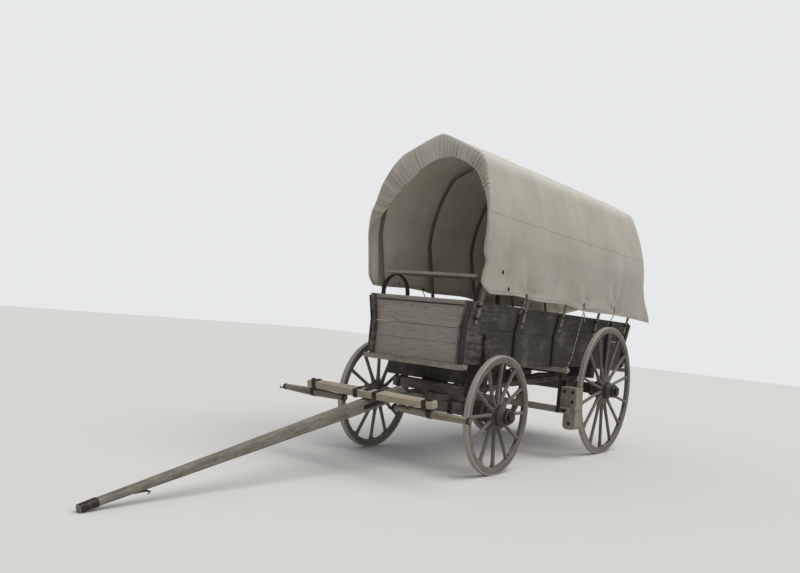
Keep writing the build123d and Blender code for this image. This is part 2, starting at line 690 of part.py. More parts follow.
mouth_half = COVER_HALF - MOUTH_SIDE
mouth_z = COVER_RIDGE - MOUTH_DROP
mouth_arc = ThreePointArc((mouth_half, mouth_z), (0, COVER_RIDGE - MOUTH_BAND), (-mouth_half, mouth_z))
mouth_base = Polyline(
    (-mouth_half, mouth_z), (-mouth_half, COVER_HEM_Z), (mouth_half, COVER_HEM_Z), (mouth_half, mouth_z)
)
mouth = run_along(make_face([mouth_arc.edge(), *mouth_base.edges()]), *cover_ends)
front_band = curtain(front_edge[:1], front_edge[1], CLOTH) - mouth
rear_foot = (rear_edge[1][0], COVER_HEM_Z + CURTAIN_FOOT)
hole = run_along(Pos(0, COVER_RIDGE - HOLE_DROP) * Ellipse(HOLE_HALF_WIDE, HOLE_HALF_TALL), *cover_ends)
rear_band = curtain(rear_edge[:2], rear_foot, -CLOTH) - hole
save("canvas_cover", cover.fuse(front_band, rear_band))

# Bows: bent strips that stand against the upper boards and carry the cover.
bow_foot_z = upper_top - BOW_FOOT
bow_base_z = bow_foot_z - bow_inset - BOW_THICK - 1
bow_base_x = BOX_HALF + math.tan(flare) * (bow_base_z - upper_z) + bow_depth / math.cos(flare)
half_bow = BOW_WIDE / 2
bow_list = [
    shell(bow_base_x, bow_base_z, bow_inset, BOW_THICK, y - half_bow, y + half_bow) for y in bow_at
]
save("bows", *bow_list)

# Seat: a board on two bent leaf springs that stand on the side boards.
seat_y0 = box_y0 + SEAT_FROM_FRONT
seat_mid = seat_y0 + SEAT_DEPTH / 2
save("seat_board", block(-SEAT_HALF, SEAT_HALF, seat_y0, seat_y0 + SEAT_DEPTH, SEAT_Z, SEAT_Z + SEAT_THICK))
spring_z0 = upper_top + SEAT_GAP
spring_z1 = SEAT_Z - SEAT_GAP


def spring_arc(inset):
    """The spring's bow from one foot over to the other, drawn in by inset."""
    foot = SPRING_HALF - inset
    return ThreePointArc(
        (0, seat_mid - foot, spring_z0), (0, seat_mid, spring_z1 - inset), (0, seat_mid + foot, spring_z0)
    )


arc_out = spring_arc(0)
arc_in = spring_arc(SPRING_THICK)
feet = [Line(arc_out @ 0, arc_in @ 0), Line(arc_out @ 1, arc_in @ 1)]
spring_face = make_face([edge.edge() for edge in (arc_out, arc_in, *feet)])
spring_x = BOX_HALF + flare_run - SPRING_WIDE
spring = extrude(spring_face, amount=SPRING_WIDE, dir=(1, 0, 0))
save("seat_springs", both_sides(Pos(spring_x, 0, 0) * spring))

# Tongue and draft tree are drawn level and then dipped about the tongue pin.
pin_axis = Axis((0, pin_y, tongue_pin_z), (1, 0, 0))


def dipped(shape):
    return shape.rotate(pin_axis, math.degrees(tongue_dip))


tip_y = pin_y - TONGUE_LENGTH
tail_y = pin_y + TONGUE_TAIL
taper_y = pin_y - TONGUE_STRAIGHT
heel_x = TONGUE_HEEL[0] / 2
heel_up = TONGUE_HEEL[1] / 2
tip_x = TONGUE_TIP[0] / 2
tongue_plan = [
    (-heel_x, tail_y),
    (heel_x, tail_y),
    (heel_x, taper_y),
    (tip_x, tip_y),
    (-tip_x, tip_y),
    (-heel_x, taper_y),
]
tongue_side = [
    (tail_y, tongue_pin_z - heel_up),
    (tail_y, tongue_pin_z + heel_up),
    (taper_y, tongue_pin_z + heel_up),
    (tip_y, tongue_pin_z + tip_half),
    (tip_y, tongue_pin_z - tip_half),
    (taper_y, tongue_pin_z - heel_up),
]
tongue = run_up(tongue_plan, 0, COVER_RIDGE) & run_across(tongue_side, -heel_x, heel_x)
tongue_top = tongue_pin_z + heel_up
tree_y = pin_y - TREE_AT
tree_z = tongue_top + WEAR_PLATE_THICK + SEAT_GAP + MOVING_GAP
tree_top = tree_z + TREE_THICK
plate_z = tongue_top + SEAT_GAP
save("tongue", dipped(tongue - pin_hole))
hammer_z = tree_top + MOVING_GAP
hammer_aft = tree_y + HAMMER_AFT
tree_pin = rod((0, tree_y, plate_z), (0, tree_y, hammer_z + HAMMER_THICK / 2), TREE_PIN_R)
half_strap = HAMMER_WIDE / 2
hammer_top = hammer_z + HAMMER_THICK
plate_top = plate_z + WEAR_PLATE_THICK
leg_y = hammer_aft - HAMMER_THICK
strap_top = block(-half_strap, half_strap, tree_y - HAMMER_FORE, hammer_aft, hammer_z, hammer_top)
strap_leg = block(-half_strap, half_strap, leg_y, hammer_aft, plate_z, hammer_top)
wear_plate = rod((0, tree_y, plate_z), (0, tree_y, plate_top), WEAR_PLATE_R)
wear_tail = block(-half_strap, half_strap, tree_y, hammer_aft, plate_z, plate_top)
save("hammer_strap", dipped(tree_pin + strap_top + strap_leg + wear_plate + wear_tail))

tree_end = TREE_HALF + TREE_END_OVER
tree_plan = [
    (0, tree_y - TREE_MID_WIDE / 2),
    (tree_end, tree_y - TREE_END_WIDE / 2),
    (tree_end, tree_y + TREE_END_WIDE / 2),
    (0, tree_y + TREE_MID_WIDE / 2),
    (-tree_end, tree_y + TREE_END_WIDE / 2),
    (-tree_end, tree_y - TREE_END_WIDE / 2),
]
tree = run_up(tree_plan, tree_z, tree_top)
# Holes as (distance across, radius of the pin in it).
for x, radius in ((0, TREE_PIN_R), (TREE_HALF, SWING_BOLT_R), (-TREE_HALF, SWING_BOLT_R)):
    tree -= rod((x, tree_y, tree_z - MOVING_GAP), (x, tree_y, tree_top + MOVING_GAP), radius + PIN_RUN)
save("doubletree", dipped(tree))


def singletree(side):
    """An eight-sided bar on a bolt under the doubletree's end, with a trace hook at each tip."""
    x = side * TREE_HALF
    z = tree_z - SWING_DROP - SWING_MID_R
    eights = [
        Plane(origin=(x + at, tree_y, z), z_dir=(1, 0, 0)) * RegularPolygon(radius, 8, rotation=22.5)
        for at, radius in ((-SWING_HALF, SWING_END_R), (0, SWING_MID_R), (SWING_HALF, SWING_END_R))
    ]
    bar = loft(eights, ruled=True)
    half_clip = CLIP_WIDE / 2
    clip = block(
        x - half_clip, x + half_clip, tree_y - CLIP_HALF, tree_y + CLIP_HALF, z - CLIP_HALF, z + CLIP_HALF
    )
    nut_z = tree_top + MOVING_GAP
    bolt = rod((x, tree_y, z), (x, tree_y, nut_z + SWING_NUT_THICK), SWING_BOLT_R)
    nut = rod((x, tree_y, nut_z), (x, tree_y, nut_z + SWING_NUT_THICK), SWING_NUT_R)
    hooks = []
    for s in (-1, 1):
        hook_x = x + s * (SWING_HALF - HOOK_BAND_IN)
        half_band = HOOK_BAND_WIDE / 2
        finger_y = tree_y - HOOK_REACH + HOOK_ROD
        hooks += [
            cross_rod(hook_x - half_band, hook_x + half_band, tree_y, z, SWING_END_R + HOOK_BAND_WALL),
            rod((hook_x, tree_y, z), (hook_x, tree_y - HOOK_REACH, z), HOOK_ROD),
            rod((hook_x, finger_y, z), (hook_x + s * HOOK_OVER, finger_y, z), HOOK_FINGER),
        ]
    return bar.fuse(clip, bolt, nut, *hooks)


for name, side in (("left", 1), ("right", -1)):
    save(f"singletree_{name}", dipped(singletree(side)))

# Brake: a beam ahead of the rear wheels with a shoe at each end, hung from the middle sill.
sill_back = sill_mid_y + SILL_WIDE / 2
beam_y0 = sill_back + 2 * SEAT_GAP + HANGER_THICK
beam_y1 = beam_y0 + BRAKE_BEAM_WIDE
beam_z0 = BRAKE_BEAM_Z - BRAKE_BEAM_TALL / 2
beam_z1 = BRAKE_BEAM_Z + BRAKE_BEAM_TALL / 2
shoe_back = rear_y - rear_r + SHOE_PAST_RIM
shoe_front = beam_y0 + SHOE_IN
upper_shoe = block(*SHOE_UPPER_X, shoe_front, shoe_back, BRAKE_BEAM_Z, SHOE_TOP)
lower_shoe = block(*SHOE_LOWER_X, shoe_front, shoe_back, SHOE_FOOT, BRAKE_BEAM_Z)
lower_shoe = fillet(lower_shoe.edges().filter_by(Axis.Y).group_by(Axis.Z)[0], SHOE_FOOT_ROUND)
tyre_room = cross_rod(0, COVER_HALF + HALF_TRACK, rear_y, rear_r, rear_r + BRAKE_GAP)
shoes = both_sides(upper_shoe + lower_shoe - tyre_room).solids()
beam = block(-HALF_TRACK, HALF_TRACK, beam_y0, beam_y1, beam_z0, beam_z1)
save("brake_beam", beam.fuse(*shoes))
hanger_x = SILL_HALF_MID - HANGER_IN
hanger_y = sill_back + SEAT_GAP
half_hanger = HANGER_WIDE / 2
hanger_back = hanger_y + HANGER_THICK
hanger = block(hanger_x - half_hanger, hanger_x + half_hanger, hanger_y, hanger_back, beam_z0, sill_top)
save("brake_hangers", both_sides(hanger))
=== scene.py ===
"""The looks of a four-wheeled farm wagon with a canvas cover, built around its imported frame.

Metres. The front faces -Y, +X is the wagon's own left and +Z is up, as in the frame.
"""

import json
import math
import random

import bmesh
import bpy
import numpy as np
from mathutils import Matrix, Vector, noise


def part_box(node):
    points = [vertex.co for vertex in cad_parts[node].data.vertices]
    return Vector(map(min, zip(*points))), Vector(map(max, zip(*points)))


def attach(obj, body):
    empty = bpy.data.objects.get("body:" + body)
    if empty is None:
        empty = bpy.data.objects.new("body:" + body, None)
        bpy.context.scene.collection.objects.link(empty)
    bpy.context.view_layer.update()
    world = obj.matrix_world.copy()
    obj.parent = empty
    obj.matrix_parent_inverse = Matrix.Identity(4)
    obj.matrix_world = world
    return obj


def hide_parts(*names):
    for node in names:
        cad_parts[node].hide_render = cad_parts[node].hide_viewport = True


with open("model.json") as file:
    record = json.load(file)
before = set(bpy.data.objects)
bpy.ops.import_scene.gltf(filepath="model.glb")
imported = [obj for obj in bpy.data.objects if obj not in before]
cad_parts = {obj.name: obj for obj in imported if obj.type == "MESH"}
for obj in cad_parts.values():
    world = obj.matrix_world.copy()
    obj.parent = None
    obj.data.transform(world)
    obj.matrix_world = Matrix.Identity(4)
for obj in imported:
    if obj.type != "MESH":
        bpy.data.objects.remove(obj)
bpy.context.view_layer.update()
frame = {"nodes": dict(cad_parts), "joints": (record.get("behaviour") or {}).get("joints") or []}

nodes = frame["nodes"]

# The studio: a pale matt floor and a plain surround, with a broad soft light high on the wagon's
# own left and a little behind it, as under a bright overcast sky, so that the front is in shade.
FLOOR_SIZE = 60.0
FLOOR_PAINT = "CDCBC6"
SURROUND = "E6E8E9"
SKY_TINT = "F1F5FA"
SKY_STRENGTH = 0.55
LAMP_FROM = (0.36, 0.20, 0.91)
LAMP_STRENGTH = 2.15
LAMP_SPREAD = 50


def linear(code):
    """An sRGB hex colour as the linear values that a shader takes."""
    parts = [int(code[i:i + 2], 16) / 255 for i in (0, 2, 4)]
    return (*[c / 12.92 if c <= 0.04045 else ((c + 0.055) / 1.055) ** 2.4 for c in parts], 1.0)


def add(tree, kind, inputs=None, out=0, **settings):
    """Adds a node with its settings, links or sets its inputs, and gives one of its outputs."""
    made = tree.nodes.new("ShaderNode" + kind)
    for key, value in settings.items():
        setattr(made, key, value)
    for key, value in (inputs or {}).items():
        if isinstance(value, bpy.types.NodeSocket):
            tree.links.new(value, made.inputs[key])
        else:
            made.inputs[key].default_value = value
    return made.outputs[out] if made.outputs else None


def fresh_material(name):
    """A material with nothing in it, and its tree of nodes."""
    material = bpy.data.materials.new(name)
    material.use_nodes = True
    material.node_tree.nodes.clear()
    return material, material.node_tree


def surface(tree, look):
    """Ends a material's tree with its surface."""
    add(tree, "OutputMaterial", {0: add(tree, "BsdfPrincipled", look)})


def show(name, data):
    """An object of that name in the scene."""
    thing = bpy.data.objects.new(name, data)
    bpy.context.scene.collection.objects.link(thing)
    return thing


lamp = bpy.data.lights.new("overcast_sky", "SUN")
lamp.energy = LAMP_STRENGTH
lamp.angle = math.radians(LAMP_SPREAD)
show("overcast_sky", lamp).rotation_euler = Vector(LAMP_FROM).to_track_quat("Z", "Y").to_euler()

floor_finish, tree = fresh_material("matt_floor_paint")
surface(tree, {"Base Color": linear(FLOOR_PAINT), "Roughness": 0.9})
half = FLOOR_SIZE / 2
floor_mesh = bpy.data.meshes.new("floor")
corners = [(-half, -half, 0), (half, -half, 0), (half, half, 0), (-half, half, 0)]
floor_mesh.from_pydata(corners, [], [(0, 1, 2, 3)])
floor_mesh.materials.append(floor_finish)
show("floor", floor_mesh)

world = bpy.data.worlds.new("plain_surround")
bpy.context.scene.world = world
world.use_nodes = True
tree = world.node_tree
tree.nodes.clear()
seen = add(tree, "LightPath", out="Is Camera Ray")
light = add(tree, "Background", {"Color": linear(SKY_TINT), "Strength": SKY_STRENGTH})
shown = add(tree, "Background", {"Color": linear(SURROUND), "Strength": 1.0})
add(tree, "OutputWorld", {0: add(tree, "MixShader", {0: seen, 1: light, 2: shown})})

# The camera: eye height 1.26 m, ahead of the wagon's left front corner, tilted up and leaning to
# one side a little, fitted to the outlines of the three wheels that show in the photograph.
front_axle_y = sum(corner.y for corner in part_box("front_axle")) / 2
rear_axle_y = sum(corner.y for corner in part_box("rear_axle")) / 2
EYE = (3.927, front_axle_y - 5.788, 1.260)
TURN = math.radians(37.43)
TILT = math.radians(2.213)
LEAN = math.radians(5.7525)
FOCAL_PIXELS = 768.54
PHOTO_WIDTH = 800
lens = bpy.data.cameras.new("camera")
lens.lens = FOCAL_PIXELS / PHOTO_WIDTH * lens.sensor_width
camera = show("camera", lens)
turned_up = Matrix.Rotation(TURN, 4, "Z") @ Matrix.Rotation(math.radians(90) + TILT, 4, "X")
camera.matrix_world = Matrix.Translation(EYE) @ turned_up @ Matrix.Rotation(LEAN, 4, "Z")
bpy.context.scene.camera = camera
bpy.context.scene.view_settings.view_transform = "Standard"

# The running gear's timbers: axles, bolsters, sandboard, hounds and reach of hickory and oak, sawn
# square with their edges shaved round, painted once and now worn, dusty and grey.
EDGE_ROUND = 0.004
EDGES_FROM = math.radians(35)
JOINED_WITHIN = 0.0001
ROAD_DUST = "8F8677"
CHECK_DARK = "231F1A"
RUB_FADES_OVER = 0.75


def clouds(tree, where, mm, detail=2.0, rough=0.5, distorted=0.0):
    """A cloudy pattern with patches of about so many millimetres."""
    form = {"Vector": where, "Scale": 1000 / mm, "Detail": detail}
    return add(tree, "TexNoise", {**form, "Roughness": rough, "Distortion": distorted})


def ranged(tree, value, start, end, low=0.0, high=1.0, **settings):
    """A value brought from one range to another and held within it."""
    return add(tree, "MapRange", {0: value, 1: start, 2: end, 3: low, 4: high}, **settings)


def mixed(tree, share, under, over, way="MIX"):
    """A colour with another laid over it by a share, or multiplied by it."""
    return add(tree, "Mix", {0: share, 6: under, 7: over}, out=2, data_type="RGBA", blend_type=way)


def worked(tree, operation, *values):
    """Values worked together, as by adding."""
    return add(tree, "Math", dict(enumerate(values)), operation=operation)


def timber(name, bare, grey, paint=None, kept=0.5, dust=0.3, along="own", grain_mm=5.0,
           rubbed_ahead_of=None):
    """Sawn timber, weathered: bare where the paint has gone, grey fibres, drying checks and dust."""
    material, tree = fresh_material(name)
    spot = add(tree, "TexCoord", out="Object")
    place, stretch = spot, tuple(0.06 if axis == along else 1.0 for axis in "XYZ")
    if along == "own":
        place, stretch = add(tree, "Attribute", attribute_name="grain", out="Vector"), (0.06, 1, 1)
    grain = add(tree, "Mapping", {"Vector": place, "Scale": stretch})
    drawn_out = tuple(0.3 if part < 1 else 1.0 for part in stretch)
    flow = add(tree, "Mapping", {"Vector": place, "Scale": drawn_out})
    fibres = clouds(tree, grain, grain_mm, 5.0, 0.65)
    streaks = clouds(tree, grain, 7 * grain_mm, 4.0, 0.6)
    checks = clouds(tree, grain, 3 * grain_mm)
    patches = clouds(tree, spot, 260, 5.0, 0.6)
    flakes = clouds(tree, flow, 24, 6.0, 0.7)
    colour = mixed(tree, ranged(tree, streaks, 0.34, 0.64), linear(bare), linear(grey))
    lines = ranged(tree, fibres, 0.33, 0.62, 0.66, 1.08)
    colour = mixed(tree, 1.0, colour, lines, "MULTIPLY")
    crack = ranged(tree, checks, 0.70, 0.74, high=0.8)
    colour = mixed(tree, crack, colour, linear(CHECK_DARK))
    if paint:
        eased_edge = add(tree, "Bevel", {"Radius": 0.008}, samples=4)
        face = add(tree, "NewGeometry", out="Normal")
        flat = add(tree, "VectorMath", {0: eased_edge, 1: face}, out="Value", operation="DOT_PRODUCT")
        worn = worked(tree, "ADD", ranged(tree, flat, 0.99, 0.86, high=0.2), flakes)
        worn = worked(tree, "MULTIPLY_ADD", streaks, 0.8, worn)
        if rubbed_ahead_of is not None:
            y = add(tree, "SeparateXYZ", {0: spot}, out=1)
            handled = ranged(tree, y, rubbed_ahead_of, rubbed_ahead_of - RUB_FADES_OVER, high=0.24)
            worn = worked(tree, "ADD", worn, handled)
        gone = ranged(tree, worn, 0.62 + 0.5 * kept, 0.94 + 0.5 * kept)
        shade = ranged(tree, patches, 0.3, 0.7, 0.8, 1.2)
        coat = mixed(tree, 1.0, linear(paint), shade, "MULTIPLY")
        coat = mixed(tree, 0.35, coat, lines, "MULTIPLY")
        colour = mixed(tree, gone, coat, colour)
    settled = worked(tree, "MULTIPLY_ADD", flakes, 0.3, patches)
    settled = ranged(tree, settled, 0.78 - 0.45 * dust, 1.08 - 0.2 * dust, high=0.35 + 0.4 * dust)
    colour = mixed(tree, settled, colour, linear(ROAD_DUST))
    relief = worked(tree, "SUBTRACT", fibres, crack)
    bump = add(tree, "Bump", {"Strength": 0.45, "Distance": 0.0014, "Height": relief})
    matt = ranged(tree, flakes, 0.3, 0.7, 0.70, 0.92)
    surface(tree, {"Base Color": colour, "Roughness": matt, "Normal": bump, "Specular IOR Level": 0.3})
    return material


def dress(finish, *names, edge=EDGE_ROUND):
    """Gives nodes of the frame their finish, with their points joined and their edges eased."""
    for name in names:
        piece = nodes[name]
        piece.data.materials.clear()
        piece.data.materials.append(finish)
        piece.modifiers.new("joined", "WELD").merge_threshold = JOINED_WITHIN
        rounded = piece.modifiers.new("eased_edges", "BEVEL")
        rounded.width = edge
        rounded.segments = 2
        rounded.limit_method = "ANGLE"
        rounded.angle_limit = EDGES_FROM
        rounded.harden_normals = True


GEAR = {"bare": "857968", "grey": "7D786E", "paint": "56524B", "kept": 0.45, "dust": 0.5}
gear_across = timber("worn_gear_paint_on_oak_across", along="X", **GEAR)
gear_along = timber("worn_gear_paint_on_oak_along", along="Y", **GEAR)
# The bolsters are darker than the rest of the gear: painted shade for the shadow under the box.
bolster_paint_with_painted_shade = timber("gear_paint_on_oak_bolster_with_painted_shade", "5F574B", "5A564E", paint="383531", kept=0.6,
                       dust=0.3, along="X")
dress(gear_across, "front_axle", "rear_axle", "sandboard")
dress(bolster_paint_with_painted_shade, "front_bolster", "rear_bolster")
dress(gear_along, "front_hounds", "reach", "rear_hounds")

# Forged irons of the gear: axle arms with their nuts, bolster plates and kingbolt of wrought iron,
# black from the forge, gone brown with rust and dusty in their hollows, with clips and nuts.
# The sizes of a nut, bolt head or washer are its width and height.
IRON_EASED = 0.0015
CLIP_THICK = 0.006
CLIP_WIDE = 0.038
CLIPS_AT = (0.215, 0.375)
CLIP_NUT = (0.022, 0.010)
CLIP_NUT_OUT = 0.004
CLIP_NUT_UP = 0.020


def forged_iron(name, black="2D2B29", rust="55402F", dust="7E7365", rusted=0.5, rough=0.62, metal=0.7):
    """Wrought iron left black, its scale broken by rust, with road dust on it."""
    material, tree = fresh_material(name)
    spot = add(tree, "TexCoord", out="Object")
    patches = clouds(tree, spot, 45, 6.0, 0.65)
    pits = clouds(tree, spot, 5, 4.0, 0.7)
    rusty = ranged(tree, patches, 0.62 - 0.25 * rusted, 0.8 - 0.25 * rusted)
    colour = mixed(tree, rusty, linear(black), linear(rust))
    colour = mixed(tree, ranged(tree, pits, 0.48, 0.75, high=0.55), colour, linear(dust))
    clean = ranged(tree, rusty, 0.0, 1.0, metal, 0.1)
    gloss = ranged(tree, patches, 0.3, 0.7, rough - 0.12, rough + 0.2)
    bump = add(tree, "Bump", {"Strength": 0.35, "Distance": 0.0008, "Height": pits})
    surface(tree, {"Base Color": colour, "Metallic": clean, "Roughness": gloss, "Normal": bump})
    return material


def build(name, parts, material, body, replaces=(), sharp=38):
    """Joins parts, each its points, faces and grain, into one piece that rides on a body."""
    points, faces, grain, start = [], [], [], 0
    for part_points, part_faces, part_grain in parts:
        points.append(np.asarray(part_points, float))
        grain.append(np.asarray(part_grain, float))
        faces.extend(tuple(i + start for i in face) for face in part_faces)
        start += len(part_points)
    mesh = bpy.data.meshes.new(name)
    mesh.from_pydata(np.concatenate(points).tolist(), [], faces)
    lie = mesh.attributes.new("grain", "FLOAT_VECTOR", "POINT")
    lie.data.foreach_set("vector", np.concatenate(grain).ravel())
    form = bmesh.new()
    form.from_mesh(mesh)
    bmesh.ops.recalc_face_normals(form, faces=form.faces)
    form.to_mesh(mesh)
    form.free()
    mesh.materials.append(material)
    mesh.shade_smooth()
    mesh.set_sharp_from_angle(angle=math.radians(sharp))
    piece = show(name, mesh)
    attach(piece, body)
    if replaces:
        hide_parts(*replaces)
    return piece


def through_rings(rings, around=False, grain=None):
    """One closed surface through rings of points that all have the same number of points."""
    rings = [np.asarray(ring, float) for ring in rings]
    count = len(rings[0])
    faces = []
    for a in range(len(rings) if around else len(rings) - 1):
        b = (a + 1) % len(rings)
        for i in range(count):
            j = (i + 1) % count
            faces.append((a * count + i, b * count + i, b * count + j, a * count + j))
    if not around:
        faces.append(tuple(range(count)))
        faces.append(tuple(range(len(rings) * count - 1, (len(rings) - 1) * count - 1, -1)))
    points = np.concatenate(rings)
    return points, faces, points if grain is None else grain


def oval(half_a, half_b, squareness=2.0, count=14, turn=0.0):
    """Points round an oval, which comes near to a rectangle as its squareness rises."""
    ring = []
    for i in range(count):
        a = turn + 2 * math.pi * i / count
        c, s = math.cos(a), math.sin(a)
        ring.append((math.copysign(abs(c) ** (2 / squareness), c) * half_a,
                     math.copysign(abs(s) ** (2 / squareness), s) * half_b))
    return ring


def nut(place, out, across, tall, sides=4, turn=0.4):
    """A nut, bolt head or washer standing on a surface, its top edges eased."""
    place, basis = Vector(place), Vector(out).to_track_quat("Z", "Y").to_matrix()
    rings = []
    for wide, height in ((1.0, -0.1), (1.0, 0.7), (0.8, 1.0)):
        r = across / 2 * wide
        rings.append([place + basis @ Vector((a, b, height * tall)) for a, b in oval(r, r, 2, sides, turn)])
    return through_rings(rings)


def grown(a0, a1, b0, b1, by):
    """The corners of a rectangle, each side moved out by a distance."""
    return [(a0 - by, b0 - by), (a1 + by, b0 - by), (a1 + by, b1 + by), (a0 - by, b1 + by)]


def clip_round(x, y0, y1, z0, z1):
    """A clip bent square round a beam that lies across the wagon."""
    left, right = x - CLIP_WIDE / 2, x + CLIP_WIDE / 2
    rings = [[(at, y, z) for y, z in grown(y0, y1, z0, z1, by)]
             for at, by in ((left, CLIP_THICK), (right, CLIP_THICK), (right, 0), (left, 0))]
    return through_rings(rings, around=True)


iron = forged_iron("forge_black_iron_rusting")
dress(iron, "front_axle_arms", "rear_axle_arms", "kingbolt", "bolster_plate", edge=IRON_EASED)
for beam, body, places in (
    ("front_axle", "front_gear", CLIPS_AT),
    ("sandboard", "front_gear", CLIPS_AT[1:]),
    ("rear_axle", "wagon_box", CLIPS_AT),
):
    low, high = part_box(beam)
    clips = []
    for x in (*places, *[-x for x in places]):
        clips.append(clip_round(x, low.y, high.y, low.z, high.z))
        for y, out in ((low.y - CLIP_NUT_OUT, -1), (high.y + CLIP_NUT_OUT, 1)):
            clips.append(nut((x, y, low.z + CLIP_NUT_UP), (0, out, 0), *CLIP_NUT))
    build(beam + "_clips", clips, iron, body)

# Stake bands: two thin iron bands shrunk round each bolster stake, which is let into the bolster's end
# and holds the box sideways. A stake tapers from its foot to its top.
STAKE_LONG = 0.052
STAKE_THICK = (0.042, 0.022)
STAKE_HEIGHTS = (0.950, 1.180)
STAKE_BANDS_AT = (0.985, 1.135)
STAKE_BAND_TALL = 0.026
STAKE_BAND_INSIDE = -0.00022
STAKE_BAND_OUTSIDE = 0.00198
bands = []
for name in ("front_bolster", "rear_bolster"):
    low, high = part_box(name)
    y = (low.y + high.y) / 2
    inner_x = high.x - STAKE_THICK[0]
    for side in (-1, 1):
        for foot in STAKE_BANDS_AT:
            top = foot + STAKE_BAND_TALL
            rings = []
            for by, z in ((STAKE_BAND_INSIDE, foot), (STAKE_BAND_OUTSIDE, foot),
                          (STAKE_BAND_OUTSIDE, top), (STAKE_BAND_INSIDE, top)):
                outer_x = inner_x + float(np.interp(z, STAKE_HEIGHTS, STAKE_THICK))
                plan = grown(inner_x, outer_x, -STAKE_LONG / 2, STAKE_LONG / 2, by)
                rings.append([(side * x, y + reach, z) for x, reach in plan])
            bands.append(through_rings(rings, around=True))
build("stake_bands", bands, iron, "wagon_box")

# Wheels: an elm hub turned to a barrel, oak spokes driven into it and shaved from square at the hub
# to oval, ash felloes, two spokes to each, bored onto the tongues, and a tyre shrunk on hot.
SPOKE_FORM = (
    # share of its length, depth along the axle, width, squareness
    (0.00, 0.050, 0.036, 6.0),
    (0.08, 0.047, 0.035, 5.0),
    (0.17, 0.039, 0.031, 3.0),
    (0.30, 0.035, 0.029, 2.1),
    (0.60, 0.033, 0.028, 2.0),
    (0.88, 0.034, 0.028, 2.3),
    (0.95, 0.036, 0.030, 4.0),
    (1.00, 0.036, 0.030, 4.0),
)
SPOKE_ROOT_R = 0.085
SPOKE_INTO_FELLOE = 0.004
FELLOE_DEPTH = 0.054
FELLOE_ROUND = 0.012
FELLOE_EASED = 0.0035
FELLOE_JOINT = 0.0014
FELLOE_STEPS = 10
FELLOE_NUT = (0.021, 0.009)
FELLOE_BOLT = (0.010, 0.008)
NUT_BESIDE_JOINT = 0.075
TYRE_THICK = 0.012
TYRE_EASED = 0.0025
TYRE_SEAT = 0.0003
TYRE_STEPS = 96
DISH = 0.022
HUB_STEPS = 44
HUB_HALF = 0.140
HUB_TURNING = (
    # distance outwards from the spokes, radius
    (-0.140, 0.045), (-0.140, 0.066), (-0.137, 0.070), (-0.108, 0.071), (-0.072, 0.085), (-0.047, 0.087),
    (-0.041, 0.096), (0.041, 0.096), (0.047, 0.087), (0.072, 0.085), (0.106, 0.066), (0.137, 0.064),
    (0.140, 0.060), (0.140, 0.045),
)
HUB_BANDS = ((-0.139, 0.0703), (-0.069, 0.0863), (0.045, 0.0863), (0.115, 0.0643))
BAND_WIDE = 0.024
BAND_THICK = 0.006
PIPE_BOX = (0.0325, 0.041)
PIPE_PAST_HUB = 0.0014
PIPE_STEPS = 32


def turned(profile, steps, shift=0):
    """A closed profile of (x, radius) turned about the X axis."""
    angles = [2 * math.pi * i / steps for i in range(steps)]
    rings = [[(x, r * math.sin(a), r * math.cos(a)) for x, r in profile] for a in angles]
    return through_rings(rings, True, [(x + shift, a * r, r) for a in angles for x, r in profile])


def wheel_spoke(angle, inner_r, chance):
    """One spoke at an angle round the wheel, leaning out from the hub by the dish."""
    out = np.array((0, -math.sin(angle), math.cos(angle)))
    side = np.array((0, math.cos(angle), math.sin(angle)))
    shift = chance.uniform(0, 50)
    rings, grain = [], []
    for part, depth, width, squareness in SPOKE_FORM:
        r = SPOKE_ROOT_R + part * (inner_r + SPOKE_INTO_FELLOE - SPOKE_ROOT_R)
        middle = out * r + np.array((-DISH * (1 - part), 0, 0))
        ring = oval(depth / 2, width / 2, squareness)
        rings.append([middle + np.array((x, 0, 0)) + side * t for x, t in ring])
        grain += [(r + shift, x, t + shift) for x, t in ring]
    return through_rings(rings, grain=grain)


def felloe(start, end, outer_r, half_width, chance):
    """One felloe from one joint to the next, its two inner edges rounded."""
    inner_r, soft = outer_r - FELLOE_DEPTH, FELLOE_ROUND
    one_side = [(half_width - FELLOE_EASED, outer_r), (half_width, outer_r - FELLOE_EASED),
                (half_width, inner_r + soft), (half_width - 0.3 * soft, inner_r + 0.3 * soft),
                (half_width - soft, inner_r)]
    section = one_side + [(-x, r) for x, r in one_side[::-1]]
    shift = chance.uniform(0, 50)
    angles = [start + (end - start) * i / FELLOE_STEPS for i in range(FELLOE_STEPS + 1)]
    rings = [[(x, -r * math.sin(a), r * math.cos(a)) for x, r in section] for a in angles]
    grain = [(a * outer_r + shift, x, r + shift) for a in angles for x, r in section]
    return through_rings(rings, grain=grain)


def band(x0, wide, r, thick, steps=40, eased=0.3):
    """A forged band round the X axis, its outer edges eased by a share of its thickness."""
    x1, top, soft = x0 + wide, r + thick, thick * eased
    profile = [(x0, r), (x0, top - soft), (x0 + soft, top), (x1 - soft, top), (x1, top - soft), (x1, r)]
    return turned(profile, steps)


def placed(part, at, facing=(1, 1, 1)):
    """A part mirrored to face its own side of the wagon and moved to its place."""
    points, faces, grain = part
    return np.asarray(points, float) * facing + np.array(at), faces, grain


